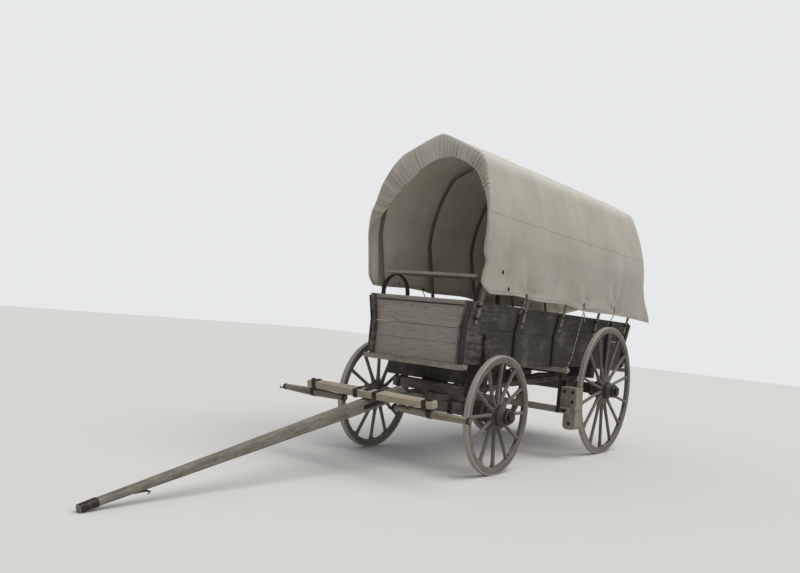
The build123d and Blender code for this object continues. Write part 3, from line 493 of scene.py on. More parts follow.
wheel_timber = timber("dusty_paint_on_oak_and_ash_wheel", "7C7364", "79746A", paint="6B665D", kept=0.5,
                      dust=0.35, grain_mm=4.0)
# The hub is darker than the spokes: grease, and painted shade for the shadow round the hub's lower spokes.
hub_timber = timber("greasy_elm_hub_with_painted_shade", "665F53", "605B52", paint="524E47", kept=0.4, dust=0.35, grain_mm=4.0)
tyre_iron = forged_iron("road_worn_wrought_tyre", black="A39D93", rust="7C6D5E", dust="A89F90", rusted=0.2,
                        rough=0.55, metal=0.35)
for wheel, spokes in (("front_left", 12), ("front_right", 12), ("rear_left", 14), ("rear_right", 14)):
    chance = random.Random(wheel)
    low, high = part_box(wheel + "_wheel_tyre")
    centre = (low + high) / 2
    side = math.copysign(1, centre.x)
    radius, half_tread = (high.z - low.z) / 2, (high.x - low.x) / 2
    felloe_r = radius - TYRE_THICK - TYRE_SEAT
    inner_r = felloe_r - FELLOE_DEPTH
    pitch = 4 * math.pi / spokes
    gap = FELLOE_JOINT / felloe_r
    joints = [pitch * (i - 0.25) for i in range(spokes // 2)]
    felloes = [(joint + gap / 2, joint + pitch - gap / 2) for joint in joints]
    wood = [turned([(x - DISH, r) for x, r in HUB_TURNING], HUB_STEPS, chance.uniform(0, 50))]
    wood += [wheel_spoke(2 * math.pi * i / spokes, inner_r, chance) for i in range(spokes)]
    wood += [felloe(start, end, felloe_r, half_tread, chance) for start, end in felloes]
    irons = [band(x - DISH, BAND_WIDE, r, BAND_THICK) for x, r in HUB_BANDS]
    back, front = -HUB_HALF - DISH, HUB_HALF + PIPE_PAST_HUB - DISH
    pipe = [(back, PIPE_BOX[0]), (back, PIPE_BOX[1]), (front, PIPE_BOX[1]), (front, PIPE_BOX[0])]
    irons.append(turned(pipe, PIPE_STEPS))
    for joint in joints:
        for beside in (-NUT_BESIDE_JOINT, NUT_BESIDE_JOINT):
            a = joint + beside / inner_r
            inwards = Vector((0, math.sin(a), -math.cos(a)))
            irons.append(nut(-inwards * inner_r, inwards, *FELLOE_NUT, turn=chance.uniform(0, 1.5)))
            irons.append(nut(-inwards * (inner_r - FELLOE_BOLT[1]), inwards, *FELLOE_BOLT, sides=8))
    tyre_eased = TYRE_EASED / TYRE_THICK
    tyre = band(-half_tread, 2 * half_tread, radius - TYRE_THICK, TYRE_THICK, TYRE_STEPS, tyre_eased)
    for kind, parts, material, finish in (
        ("wood", wood, wheel_timber, "wheel_wood"),
        ("irons", irons, iron, "irons"),
        ("tyre", [tyre], tyre_iron, "tyre_iron"),
    ):
        parts = [placed(part, centre, (side, side, 1)) for part in parts]
        node = f"{wheel}_wheel_{kind}"
        piece = build(f"{wheel}_{kind}", parts, material, wheel + "_wheel", [node])
        if kind == "wood":
            piece.data.materials.append(hub_timber)
            for face in piece.data.polygons[:len(wood[0][1])]:
                face.material_index = 1

# Tongue: a long ash pole, square at its heel between the hounds and shaved nearly round at its tip,
# with an iron cap and a hook under it, and wear irons where the doubletree swings.
TONGUE_HEEL = (0.050, 0.046)
TONGUE_TIP = (0.027, 0.023)
TONGUE_STRAIGHT = 0.600
TONGUE_TAIL = 0.090
TONGUE_LENGTH = 2.830
TONGUE_STEPS = 30
HAND_SHAVED = 0.0008
CAP_FORM = (
    # distance behind the tip, how far it stands out from the wood
    (0.110, 0.0), (0.110, 0.003), (0.002, 0.0009), (0.002, -0.002),
)
WEAR_IRON = (0.16, 0.44)
WEAR_IRON_WIDE = 0.036
WEAR_IRON_THICK = 0.005
WEAR_NUT_IN = 0.03
WEAR_NUT = (0.020, 0.008)
TONGUE_HOOK_AT = 2.40
TONGUE_HOOK = (
    # distance ahead of its place, distance below the wood, radius
    (0.080, 0.003, 0.004), (0.040, 0.006, 0.006), (0.0, 0.012, 0.007), (-0.025, 0.026, 0.006),
    (-0.010, 0.038, 0.004),
)
swings = {joint["name"]: joint for joint in frame["joints"]}
pin = Vector(swings["tongue_lift"]["pos_m"])
square_to_tongue = Vector(swings["doubletree_swing"]["axis"])
dip = math.atan2(-square_to_tongue.y, square_to_tongue.z)


def dipped(part):
    """Turns a part that is drawn level down about the tongue pin, to where the tongue lies at rest."""
    points, faces, grain = part
    points = np.array(points, float)
    y, z = points[:, 1] - pin.y, points[:, 2] - pin.z
    points[:, 1] = pin.y + y * math.cos(dip) - z * math.sin(dip)
    points[:, 2] = pin.z + y * math.sin(dip) + z * math.cos(dip)
    return points, faces, grain


def pole_at(ahead):
    """The tongue's half width and half height at a distance ahead of its pin, and its share of taper."""
    part = min(max((ahead - TONGUE_STRAIGHT) / (TONGUE_LENGTH - TONGUE_STRAIGHT), 0), 1)
    return *[a + (b - a) * part for a, b in zip(TONGUE_HEEL, TONGUE_TIP)], part


def pole_ring(ahead, grow=0.0):
    """A ring of points round the tongue, square at the heel and rounder towards the tip."""
    half_wide, half_tall, part = pole_at(ahead)
    ring = oval(half_wide + grow, half_tall + grow, 9 - 6.2 * part ** 0.7, 24, math.pi / 24)
    return [(x, pin.y - ahead, pin.z + up) for x, up in ring]


def heading(path, i):
    """The way that a path runs at one of its points."""
    return (path[min(i + 1, len(path) - 1)] - path[max(i - 1, 0)]).normalized()


def strap(path, out, wide, thick):
    """A flat iron strap along a path: its width lies across the path, its thickness to one side."""
    path, out = [Vector(p) for p in path], Vector(out).normalized()
    rings = []
    for i, low in enumerate(path):
        ahead = heading(path, i)
        up = (out - ahead * out.dot(ahead)).normalized()
        foot = ahead.cross(up) * (wide / 2)
        high, edge = low + up * thick, ahead.cross(up) * (wide / 2 - thick * 0.3)
        rings.append([low - foot, low + foot, high + edge, high - edge])
    return through_rings(rings)


def tube(path, radius, sides=10):
    """A round bar along a path, of one radius or of one for each point, its ends closed."""
    path = [Vector(p) for p in path]
    rings, up = [], Vector((0.02, 0.01, 1))
    for i, (point, r) in enumerate(zip(path, np.broadcast_to(radius, len(path)).tolist())):
        ahead = heading(path, i)
        if abs(ahead.dot(up.normalized())) > 0.9:
            up = Vector((1, 0.02, 0.01))
        across = ahead.cross(up).normalized()
        up = across.cross(ahead).normalized()
        rings.append([point + across * a + up * b for a, b in oval(r, r, count=sides)])
    return through_rings(rings)


rings, grain = [], []
for i in range(TONGUE_STEPS + 1):
    ahead = -TONGUE_TAIL + (TONGUE_LENGTH + TONGUE_TAIL) * i / TONGUE_STEPS
    rings.append(pole_ring(ahead, HAND_SHAVED * (noise.noise(Vector((ahead * 3, 1, 2))) - 1)))
    grain += [(ahead, x, z) for x, _, z in rings[-1]]
pole = timber("dusty_ash_pole", "8F8370", "857F73", paint="625D54", kept=0.25, dust=0.45)
build("tongue_pole", [dipped(through_rings(rings, grain=grain))], pole, "tongue", ["tongue"])

irons = [through_rings([pole_ring(TONGUE_LENGTH - back, grow) for back, grow in CAP_FORM])]
for side in (-1, 1):
    start, end = WEAR_IRON
    face = side * pole_at((start + end) / 2)[0]
    path = [(face, pin.y - ahead, pin.z) for ahead in (start, (start + end) / 2, end)]
    irons.append(strap(path, (side, 0, 0), WEAR_IRON_WIDE, WEAR_IRON_THICK))
    for ahead in (start + WEAR_NUT_IN, end - WEAR_NUT_IN):
        place = (face + side * WEAR_IRON_THICK, pin.y - ahead, pin.z)
        irons.append(nut(place, (side, 0, 0), *WEAR_NUT))
under = pin.z - pole_at(TONGUE_HOOK_AT)[1]
hook = [(0, pin.y - TONGUE_HOOK_AT - ahead, under - down) for ahead, down, _ in TONGUE_HOOK]
irons.append(tube(hook, [r for _, _, r in TONGUE_HOOK]))
build("tongue_irons", [dipped(part) for part in irons], iron, "tongue")
dress(iron, "hammer_strap", "tongue_pin", edge=IRON_EASED)

# Draft bars: a hickory doubletree bolted on the tongue, with a singletree under each end, shaved to a
# taper from the middle, banded, and fitted with forged hooks at its tips, all handled and dusty.
TREE_HALF = 0.610
TREE_END = 0.655
TREE_WIDE = (0.112, 0.072)
TREE_THICK = 0.056
TREE_EASED = 0.006
TREE_CLIPS_AT = (-0.575, -0.10, 0.10, 0.575)
TREE_CLIP_LOOSE = 0.0006
TREE_NUT = (0.020, 0.007)
SWING_HALF = 0.360
SWING_RADIUS = (0.031, 0.021)
SWING_BELOW = 0.047
SWING_TAPER = 1.6
SWING_DEEPER = 1.04
SWING_SQUARENESS = 8 / 3
SWING_ENDS = (
    # share of the half length, radius: its tip is rounded off
    (0.985, 0.021), (1.0, 0.0147),
)
SWING_BAND = (0.044, 0.0045)
SWING_BAND_OVER = 0.0005
SWING_FERRULE = (0.024, 0.004)
SWING_FERRULE_OVER = 0.00105
SWING_BOLT_R = 0.0088
SWING_BOLT_PAST = 0.016
SWING_BOLT_FOOT = 0.02
SWING_WASHER = (0.050, 0.003)
SWING_NUT = (0.036, 0.011)
NUT_ABOVE = 0.003
TIP_HOOK_IN = 0.014
TIP_HOOK = (
    # distance outwards, distance ahead, distance up, radius
    (0.0, 0.020, 0.0, 0.006), (0.0, 0.036, 0.0, 0.006), (0.004, 0.046, 0.0, 0.006),
    (0.014, 0.052, 0.001, 0.0055), (0.025, 0.048, 0.004, 0.005), (0.030, 0.038, 0.008, 0.0035),
)
tree_at = Vector(swings["doubletree_swing"]["pos_m"])
level_y = pin.y + (tree_at.y - pin.y) * math.cos(dip) + (tree_at.z - pin.z) * math.sin(dip)
level_z = pin.z - (tree_at.y - pin.y) * math.sin(dip) + (tree_at.z - pin.z) * math.cos(dip)
bare_hickory = timber("bare_dusty_hickory_bar", "ADA18C", "A49B8A", dust=0.4, along="X")
dress(bare_hickory, "doubletree", edge=TREE_EASED)
clips = []
for x in TREE_CLIPS_AT:
    half = (TREE_WIDE[0] + (TREE_WIDE[1] - TREE_WIDE[0]) * abs(x) / TREE_END) / 2 + TREE_CLIP_LOOSE
    clips.append(clip_round(x, level_y - half, level_y + half, level_z, level_z + TREE_THICK))
    clips.append(nut((x, level_y, level_z + TREE_THICK + CLIP_THICK), (0, 0, 1), *TREE_NUT))
build("doubletree_clips", [dipped(part) for part in clips], iron, "doubletree")

hickory = timber("handled_hickory_bar", "94876F", "8B8371", paint="5F5A51", kept=0.15, dust=0.4,
                 grain_mm=4.0)
thick, thin = SWING_RADIUS
stations = [(-t, r) for t, r in SWING_ENDS[::-1]]
stations += [(i / 9, thin + (thick - thin) * (1 - abs(i / 9) ** SWING_TAPER)) for i in range(-8, 9)]
stations += SWING_ENDS
for name, side in (("singletree_left", 1), ("singletree_right", -1)):
    middle_x, z = side * TREE_HALF, level_z - SWING_BELOW
    rings, grain = [], []
    for t, r in stations:
        ring = oval(SWING_DEEPER * r, r, SWING_SQUARENESS, 16)
        rings.append([(middle_x + t * SWING_HALF, level_y + y, z + up) for y, up in ring])
        grain += [(px + 9 * side, py, pz) for px, py, pz in rings[-1]]
    bar = dipped(through_rings(rings, grain=grain))
    build(name + "_bar", [bar], hickory, name, [name])
    wide, deep = SWING_BAND
    irons = [placed(band(-wide / 2, wide, thick + SWING_BAND_OVER, deep, 28), (middle_x, level_y, z))]
    top = level_z + TREE_THICK + NUT_ABOVE
    bolt = [(middle_x, level_y, z + SWING_BOLT_FOOT), (middle_x, level_y, top + SWING_BOLT_PAST)]
    irons.append(tube(bolt, SWING_BOLT_R, 14))
    irons.append(nut((middle_x, level_y, top), (0, 0, 1), *SWING_WASHER, sides=16))
    irons.append(nut((middle_x, level_y, top + SWING_WASHER[1]), (0, 0, 1), *SWING_NUT))
    for end in (-1, 1):
        hook_x = middle_x + end * (SWING_HALF - TIP_HOOK_IN)
        wide, deep = SWING_FERRULE
        ferrule = band(-wide / 2, wide, thin + SWING_FERRULE_OVER, deep, 24)
        irons.append(placed(ferrule, (hook_x, level_y, z)))
        hook = [(hook_x + end * x, level_y - ahead, z + up) for x, ahead, up, _ in TIP_HOOK]
        irons.append(tube(hook, [row[3] for row in TIP_HOOK], 12))
    build(name + "_irons", [dipped(part) for part in irons], iron, name)

# The brake: a beam hung on two irons from the middle sill, with a wooden shoe bolted to its back above
# and one below it at each end, hollowed to the rear tyre and held a little away from it.
BEAM_FORM = (
    # distance from the middle, how much its edges are cut there
    (-0.675, 0.010), (-0.671, 0.005), (0.671, 0.005), (0.675, 0.010),
)
BEAM_HEIGHTS = (0.459, 0.521)
BEAM_DEEP = 0.060
SHOES = (
    # inner side, bottom, top, how far behind the beam's face, roundness of its foot
    (0.560, 0.492, 0.720, 0.050, 0.006),
    (0.600, 0.300, 0.490, 0.066, 0.045),
)
SHOE_DEPTHS = (
    # how far its edges are cut, share of the way from its front to its back
    (0.004, 0.0), (0.0, 0.004), (0.0, 0.996), (0.003, 1.0),
)
SHOE_FOOT_STEPS = 6
SHOE_SIDE_STEPS = 12
SHOE_OUTER = 0.730
SHOE_CLEARS = 0.012
SHOE_PAST_RIM = 0.020
BRAKE_BOLTS = (
    # distance from the middle, height, how far behind the beam's face
    (0.600, 0.675, 0.050), (0.690, 0.675, 0.050), (0.690, 0.580, 0.050), (0.665, 0.360, 0.066),
    (0.640, 0.490, 0.0), (0.610, 0.490, 0.0),
)
BRAKE_WASHER = (0.034, 0.003)
BRAKE_WASHER_OUT = 0.0005
BRAKE_NUT = (0.020, 0.010)
THIN_IRON_EASED = 0.001
brake_block = timber("worn_brake_block", "A79C89", "9C9587", paint="7A756A", kept=0.25, dust=0.4)
brake_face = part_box("brake_beam")[0].y
rear_tyre_low, rear_tyre_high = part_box("rear_left_wheel_tyre")
rear_r = (rear_tyre_high.z - rear_tyre_low.z) / 2


def shoe(inner_x, z0, z1, behind, foot):
    """A shoe block: squared, its foot rounded, its back cut hollow so that it clears the tyre."""
    middle = (inner_x + SHOE_OUTER) / 2
    right = []
    for i in range(SHOE_FOOT_STEPS + 1):
        t = math.pi / 2 * i / SHOE_FOOT_STEPS
        right.append((SHOE_OUTER - foot + foot * math.sin(t), z0 + foot - foot * math.cos(t)))
    for i in range(1, SHOE_SIDE_STEPS + 1):
        right.append((SHOE_OUTER, z0 + foot + (z1 - z0 - foot) * i / SHOE_SIDE_STEPS))
    section = right + [(2 * middle - x, z) for x, z in right[::-1]]
    front = brake_face + behind
    rings, grain = [], []
    for eased, depth in SHOE_DEPTHS:
        ring = []
        for x, z in section:
            x = min(max(x, inner_x + eased), SHOE_OUTER - eased)
            z = min(max(z, z0 + eased), z1 - eased)
            back = rear_axle_y - math.sqrt((rear_r + SHOE_CLEARS) ** 2 - (z - rear_r) ** 2)
            back = min(back, rear_axle_y - rear_r + SHOE_PAST_RIM)
            ring.append((x, front + (back - front) * depth, z))
            grain.append((z, x, ring[-1][1]))
        rings.append(ring)
    return through_rings(rings, grain=grain)


def cornered(a0, a1, b0, b1, cut_a, cut_b):
    """The section of a sawn timber: a rectangle with its four corners cut off."""
    return [(a0 + cut_a, b0), (a1 - cut_a, b0), (a1, b0 + cut_b), (a1, b1 - cut_b),
            (a1 - cut_a, b1), (a0 + cut_a, b1), (a0, b1 - cut_b), (a0, b0 + cut_b)]


blocks, bolts = [], []
for side in (-1, 1):
    blocks += [placed(shoe(*form), (0, 0, 0), (side, 1, 1)) for form in SHOES]
    for x, z, behind in BRAKE_BOLTS:
        face = brake_face + behind
        bolts.append(nut((side * x, face - BRAKE_WASHER_OUT, z), (0, -1, 0), *BRAKE_WASHER, sides=14))
        bolts.append(nut((side * x, face - BRAKE_WASHER[1], z), (0, -1, 0), *BRAKE_NUT))
rings = []
for x, cut in BEAM_FORM:
    rings.append([(x, brake_face + y, z) for y, z in cornered(0, BEAM_DEEP, *BEAM_HEIGHTS, cut, cut)])
build("brake_beam_and_shoes", [through_rings(rings), *blocks], brake_block, "wagon_box",
      ["brake_beam"])
dress(iron, "brake_hangers", edge=THIN_IRON_EASED)
build("brake_bolts", bolts, iron, "wagon_box")

# The box: wide poplar boards nailed and bolted to cleats, the sides in old dark paint, the end gates,
# floor and seat left bare and gone grey, with rubbed corners and boards a little out of true.
BOARD_THICK = 0.024
BOARD_EASED = 0.003
OUT_OF_TRUE = 0.0018
BOARD_STEP = 0.11
FLOOR_BOARDS = 5
SEAM = 0.0010
RUBBED_FOR = 0.85
GATE_THICK = 0.025
GATE_GAP = 0.002
GATE_SPLIT = 0.56
BATTEN_AT = 0.250
BATTEN_WIDE = 0.060
BATTEN_THICK = 0.018
BATTEN_SHORT = 0.015


def plank(low, high, along, chance, edge=BOARD_EASED):
    """A sawn board between two corners: its edges eased and chipped, its faces a little out of true."""
    a = "XYZ".index(along)
    u, v = [i for i in range(3) if i != a]
    phase = chance.uniform(0, 90)
    long = high[a] - low[a]
    count = max(3, round(long / BOARD_STEP))
    stations = [low[a], *[low[a] + edge + (long - 2 * edge) * i / count for i in range(count + 1)], high[a]]
    deep = (0.3, 1.0) if high[u] - low[u] > high[v] - low[v] else (1.0, 0.3)
    rings, grain = [], []
    for n, t in enumerate(stations):
        end = edge if n in (0, len(stations) - 1) else 0
        chip = edge * (0.7 + 0.9 * abs(noise.noise(Vector((t * 9, phase, 1)))))
        waves = [0.5 + 0.5 * noise.noise(Vector((t * 2.5, phase, 10 * k))) for k in range(4)]
        sunk = [end + OUT_OF_TRUE * deep[k // 2] * wave for k, wave in enumerate(waves)]
        u0, u1, v0, v1 = low[u] + sunk[0], high[u] - sunk[1], low[v] + sunk[2], high[v] - sunk[3]
        ring = []
        for x, y in cornered(u0, u1, v0, v1, min(chip, (u1 - u0) / 4), min(chip, (v1 - v0) / 4)):
            point = [0.0, 0.0, 0.0]
            point[a], point[u], point[v] = t, x, y
            ring.append(point)
            grain.append((t + phase, x + phase, y))
        rings.append(ring)
    return through_rings(rings, grain=grain)


chance = random.Random(7)
lower_low, lower_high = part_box("lower_side_boards")
upper_low, upper_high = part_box("upper_side_boards")
floor_low, floor_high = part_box("box_floor")
gate_low, gate_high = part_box("front_gate")
tail_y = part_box("tailgate")[0].y
side_x = lower_high.x
lean = (upper_high.x - side_x) / (upper_high.z - upper_low.z)
dark_paint = timber("dark_worn_paint_on_poplar", "7A7265", "736D63", paint="3D3B37", kept=0.75, dust=0.25,
                    rubbed_ahead_of=lower_low.y + RUBBED_FOR)
bare_boards = timber("bare_grey_poplar_boards", "A0968A", "9A948A", dust=0.3)
for name in ("lower_side_boards", "upper_side_boards"):
    low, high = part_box(name)
    sides = []
    for side in (-1, 1):
        x0, x1 = sorted((side * (side_x - BOARD_THICK), side * side_x))
        points, faces, grain = plank((x0, low.y, low.z), (x1, high.y, high.z), "Y", chance)
        points[:, 0] += side * np.maximum(points[:, 2] - upper_low.z, 0) * lean
        sides.append((points, faces, grain))
    build(name + "_worn", sides, dark_paint, "wagon_box", [name])

width = (floor_high.x - floor_low.x) / FLOOR_BOARDS
boards = []
for i in range(FLOOR_BOARDS):
    x0 = floor_low.x + i * width
    low, high = (x0 + SEAM / 2, *floor_low.yz), (x0 + width - SEAM / 2, *floor_high.yz)
    boards.append(plank(low, high, "Y", chance))
build("floor_boards", boards, bare_boards, "wagon_box", ["box_floor"])

half = side_x - BOARD_THICK - GATE_GAP
back_y = gate_low.y + GATE_THICK
split = gate_low.z + GATE_SPLIT * (lower_high.z - gate_low.z)
boards = []
for z0, z1 in (
    (gate_low.z, split - SEAM / 2),
    (split + SEAM / 2, lower_high.z - SEAM / 2),
    (upper_low.z, gate_high.z),
):
    points, faces, grain = plank((-half, gate_low.y, z0), (half, back_y, z1), "X", chance)
    points[:, 0] += np.maximum(points[:, 2] - upper_low.z, 0) * lean * points[:, 0] / half
    boards.append((points, faces, grain))
for side in (-1, 1):
    x0, x1 = side * BATTEN_AT - BATTEN_WIDE / 2, side * BATTEN_AT + BATTEN_WIDE / 2
    low = (x0, back_y, floor_high.z + BATTEN_SHORT)
    high = (x1, back_y + BATTEN_THICK, gate_high.z - BATTEN_SHORT)
    boards.append(plank(low, high, "Z", chance))
build("front_gate_boards", boards, bare_boards, "wagon_box", ["front_gate"])
bare_gate = timber("bare_grey_gate", "A0968A", "9A948A", along="X", dust=0.3)
bare_strip = timber("bare_grey_strip", "7C7364", "7F796E", along="Z")
sill_paint = timber("worn_paint_on_oak_sill", "A79C8A", "A1998B", along="X", paint="7D776C", kept=0.2)
cleat_paint = timber("dark_worn_paint_on_cleat", "5D564B", "575249", along="Z", paint="33312E", kept=0.7,
                     dust=0.25)
dress(bare_gate, "tailgate")
dress(bare_strip, "gate_strips")
dress(sill_paint, "cross_sills")
dress(cleat_paint, "side_cleats")
dress(iron, "tailgate_hinges", edge=THIN_IRON_EASED)

# Box irons: carriage-bolt heads on every cleat, staples that hold the bows' feet, and a rod through
# the box at each gate with its washers and nuts, all black iron gone rusty.
BOLT_HEIGHTS = (lower_low.z + 0.07, lower_high.z - 0.06, upper_high.z - 0.07)
BOLT_OUT = 0.0195
BOLT_SCATTER = 0.004
BOLT_HEAD = (0.024, 0.006)
BOW_HALF = 0.022
BOW_THICK = 0.014
STAPLES_UP = (0.045, 0.150)
STAPLE_TOP_CLEAR = 0.02
STAPLE_CLEAR = 0.0006
STAPLE_WIDE = 0.022
STAPLE_THICK = 0.003
STAPLE_FORM = (
    # distance past the bow's edge, to either side of it, and whether it stands off over the bow there
    (-0.028, False), (-0.002, False), (-0.001, True), (0.001, True), (0.002, False), (0.028, False),
)
STAPLE_RIVET_PAST = 0.018
STAPLE_RIVET = (0.009, 0.002)
RODS_AHEAD = (0.016, 0.060)
ROD_RADIUS = 0.006
ROD_DROP = 0.045
ROD_PAST = 0.020
ROD_WASHER = (0.036, 0.003)
ROD_NUT = (0.022, 0.010)


def side_face(z, off=0.0):
    """How far out the box side's face is at a height."""
    return side_x + max(0.0, z - upper_low.z) * lean + off


def middles(name):
    """Where the pieces of a node stand along the wagon, each by the middle between its two faces."""
    faces = sorted({round(vertex.co.y, 3) for vertex in nodes[name].data.vertices})
    return [(a + b) / 2 for a, b in zip(faces[::2], faces[1::2])]


bow_y = middles("bows")
bow_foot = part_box("bows")[0].z
fittings = []
for side in (-1, 1):
    for y in middles("side_cleats"):
        for z in BOLT_HEIGHTS:
            place = (side * side_face(z, BOLT_OUT), y + chance.uniform(-BOLT_SCATTER, BOLT_SCATTER), z)
            fittings.append(nut(place, (side, 0, 0), *BOLT_HEAD, sides=10))
    for y in bow_y:
        for z in (bow_foot + up for up in STAPLES_UP if bow_foot + up < upper_high.z - STAPLE_TOP_CLEAR):
            face = side * side_face(z, STAPLE_CLEAR)
            over = side * side_face(z, BOW_THICK + 2 * STAPLE_CLEAR)
            path = [(over if crosses else face, y + past + math.copysign(BOW_HALF, past), z)
                    for past, crosses in STAPLE_FORM]
            fittings.append(strap(path, (side, 0, 0), STAPLE_WIDE, STAPLE_THICK))
            for beside in (-BOW_HALF - STAPLE_RIVET_PAST, BOW_HALF + STAPLE_RIVET_PAST):
                place = (face + side * STAPLE_THICK, y + beside, z)
                fittings.append(nut(place, (side, 0, 0), *STAPLE_RIVET, sides=8))
for y in (gate_low.y - RODS_AHEAD[0], tail_y - RODS_AHEAD[1]):
    z = upper_high.z - ROD_DROP
    reach = side_face(z, ROD_PAST)
    section = oval(ROD_RADIUS, ROD_RADIUS, count=8)
    fittings.append(through_rings([[(x, y + a, z + b) for a, b in section] for x in (-reach, reach)]))
    for side in (-1, 1):
        fittings.append(nut((side * side_face(z), y, z), (side, 0, 0), *ROD_WASHER, sides=14))
        fittings.append(nut((side * side_face(z, ROD_WASHER[1]), y, z), (side, 0, 0), *ROD_NUT))
build("box_irons", fittings, iron, "wagon_box")

# The seat: one bare poplar board with its edges worn round, across two springs of flat iron that are
# bent to loops and stand on the box sides.
SEAT_EASED = 0.005
seat = plank(*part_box("seat_board"), "X", chance, edge=SEAT_EASED)
build("seat_plank", [seat], bare_boards, "wagon_box", ["seat_board"])
dress(iron, "seat_springs", edge=THIN_IRON_EASED)

# The bows: five ash strips, steamed and bent to the cover's arch, left bare and gone grey, with their
# feet dropped into the staples on the outside of the box.
BOW_EASED = 0.003
dress(timber("bent_grey_ash", "8A7F6B", "827A69", along="Z", dust=0.25), "bows", edge=BOW_EASED)

# The cover: cotton duck in five widths sewn lengthwise, drawn over the bows and tied down to the box.
# A cord in the front hem gathers it to a mouth, and another closes the back to a small hole.
HEM_HALF = 0.606
BULGE_Z = 2.000
SIDE_RADIUS = 1.196
CROWN = 0.212
SHOULDER_RADIUS = 0.130
SHOULDER_TURN = math.radians(30)
NEAR_FRONT = (
    # drop below the ridge, distance past the box's front end
    (0.00, -0.150), (0.05, -0.155), (0.14, -0.162), (0.24, -0.160), (0.41, -0.105), (0.56, -0.060),
    (0.72, -0.020), (0.95, -0.020), (1.04, -0.035), (1.11, -0.085), (1.20, -0.060), (1.30, -0.050),
    (1.35, -0.120), (1.387, -0.220),
)
FAR_FRONT = (
    (0.00, -0.150), (0.05, -0.130), (0.21, -0.120), (0.27, -0.085), (0.43, -0.050), (0.58, -0.050),
    (0.70, -0.020), (0.97, -0.020), (1.20, -0.040), (1.30, -0.050), (1.387, -0.130),
)
REAR = (
    # drop below the ridge, distance past the box's rear end
    (0.0, 0.080), (0.30, 0.010), (0.61, -0.020), (0.89, 0.000), (1.11, 0.130), (1.30, 0.340),
    (1.387, 0.400),
)
LOOSE_BELOW = 0.75
MOUTH_CENTRE_DROP = 0.805
MOUTH = (
    # degrees round from the top, radius of the mouth: its far side is drawn flatter than its near one
    (-106, 0.640), (-101, 0.625), (-92, 0.575), (-83, 0.535), (-63, 0.495), (-50, 0.490), (-40, 0.500),
    (-30, 0.520), (-18, 0.552), (-9, 0.578), (0, 0.602), (12, 0.614), (25, 0.607), (39, 0.601), (52, 0.603),
    (65, 0.615), (76, 0.629), (90, 0.641),
)
MOUTH_HEM = 0.016
MOUTH_CLOSES = (98, 20)
MOUTH_FORWARD = 0.030
MOUTH_HOLLOW = 0.012
HOLE_DROP = 0.780
HOLE_AHEAD = 0.045
HOLE_LEAN = 0.03
HOLE_HALF = (0.170, 0.215)
HOLE_SHARE = 0.72
SLIT_LONG = 0.30
CLOTH_THICK = 0.0016
SEAMS_AT = (0.32, 1.01)
HEM_SEWN_AT = 0.03
HEM_ROLL = 0.008
HEM_TURNS = (300, 240, 180, 120, 60)
CLOTH_OVER_BOWS = 0.006
ACROSS = 360
ALONG = 84
BAND_STEPS = (1.0, 0.88, 0.74, 0.6, 0.46, 0.32, 0.2, 0.1, 0.03)
REAR_STEPS = (0.03, 0.09, 0.18, 0.28, 0.4, 0.52, 0.64, 0.76, 0.87, 0.95, 1.0)
SAG = 0.014
SLACK = 0.005
PUCKER = 0.0022
HANGING_FOLD = 0.012
HANGING_RIPPLE = 0.007
EDGE_WAVES = ((0.008, 15), (0.010, 11))
EDGE_WAVE_REACH = 0.22
TIE_DIMPLE = (0.022, 0.13)
TIE_ABOVE_HEM = 0.05
TIE_PULL = (0.009, 0.34)
ROWS_CROWD = 0.35
PLEAT = 0.047
PLEAT_RISE = (0.002, 0.010)
PLEAT_DEPTH = (
    # degrees round from the top, how deep the gathers are there beside the others
    (-60, 0.7), (0, 1.0), (15, 2.0), (70, 1.9), (95, 0.8),
)
WIDE_FOLD = 0.13
WIDE_FOLD_RISE = 0.012
REAR_FOLD = 0.085
REAR_FOLD_RISE = (0.002, 0.017)
REAR_BULGE = 0.020
RIDGE_RISE = (
    # distance past the box's front end, how far the cover's top stands up there
    (-0.45, 0.010), (0.0, 0.020), (0.5, 0.034), (1.8, 0.046), (3.0, 0.056), (3.8, 0.060),
)
TIES = (0.496, 1.760, 2.577)
HEM_LINE = (
    # distance behind the front axle, height of the hem
    (-0.60, 1.535), (-0.16, 1.522), (0.29, 1.545), (0.65, 1.522), (1.31, 1.541), (1.74, 1.499),
    (2.37, 1.516), (3.05, 1.511), (3.69, 1.486),
)
cover_low, cover_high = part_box("canvas_cover")
ridge_z, hem_z = cover_high.z, cover_low.z
box_front, box_back = lower_low.y, lower_high.y


def bend(start, heading, length, turn, steps=24):
    """Points along an arc that leaves its start with a heading and turns evenly to its end."""
    points = []
    for i in range(1, steps + 1):
        half_turn = turn * i / steps / 2
        reach = length * i / steps * (math.sin(half_turn) / half_turn if half_turn else 1)
        way = heading + half_turn
        points.append((start[0] + reach * math.cos(way), start[1] + reach * math.sin(way)))
    return points


def half_arch():
    """The cover's outline from its hem to the ridge: leg, long side arc, shoulder and flat top arc."""
    path = [(HEM_HALF, hem_z)]
    leg = (cover_high.x - HEM_HALF, BULGE_Z - hem_z)
    path += bend(path[0], math.atan2(leg[1], leg[0]), math.hypot(*leg), 0)
    side_turn = math.asin((ridge_z - CROWN - BULGE_Z) / SIDE_RADIUS)
    path += bend(path[-1], math.radians(90), SIDE_RADIUS * side_turn, side_turn)
    way = math.radians(90) + side_turn
    path += bend(path[-1], way, SHOULDER_RADIUS * SHOULDER_TURN, SHOULDER_TURN)
    way += SHOULDER_TURN
    left = (-path[-1][0], ridge_z - path[-1][1])
    turn = 2 * (math.atan2(left[1], left[0]) - way)
    path += bend(path[-1], way, math.hypot(*left) * (turn / 2) / math.sin(turn / 2), turn)
    return path


def softened(values, passes):
    """Values along a row, evened out with their neighbours, the two ends held."""
    values = np.array(values, float)
    for _ in range(passes):
        values[1:-1] = (values[:-2] + 2 * values[1:-1] + values[2:]) / 4
    return values


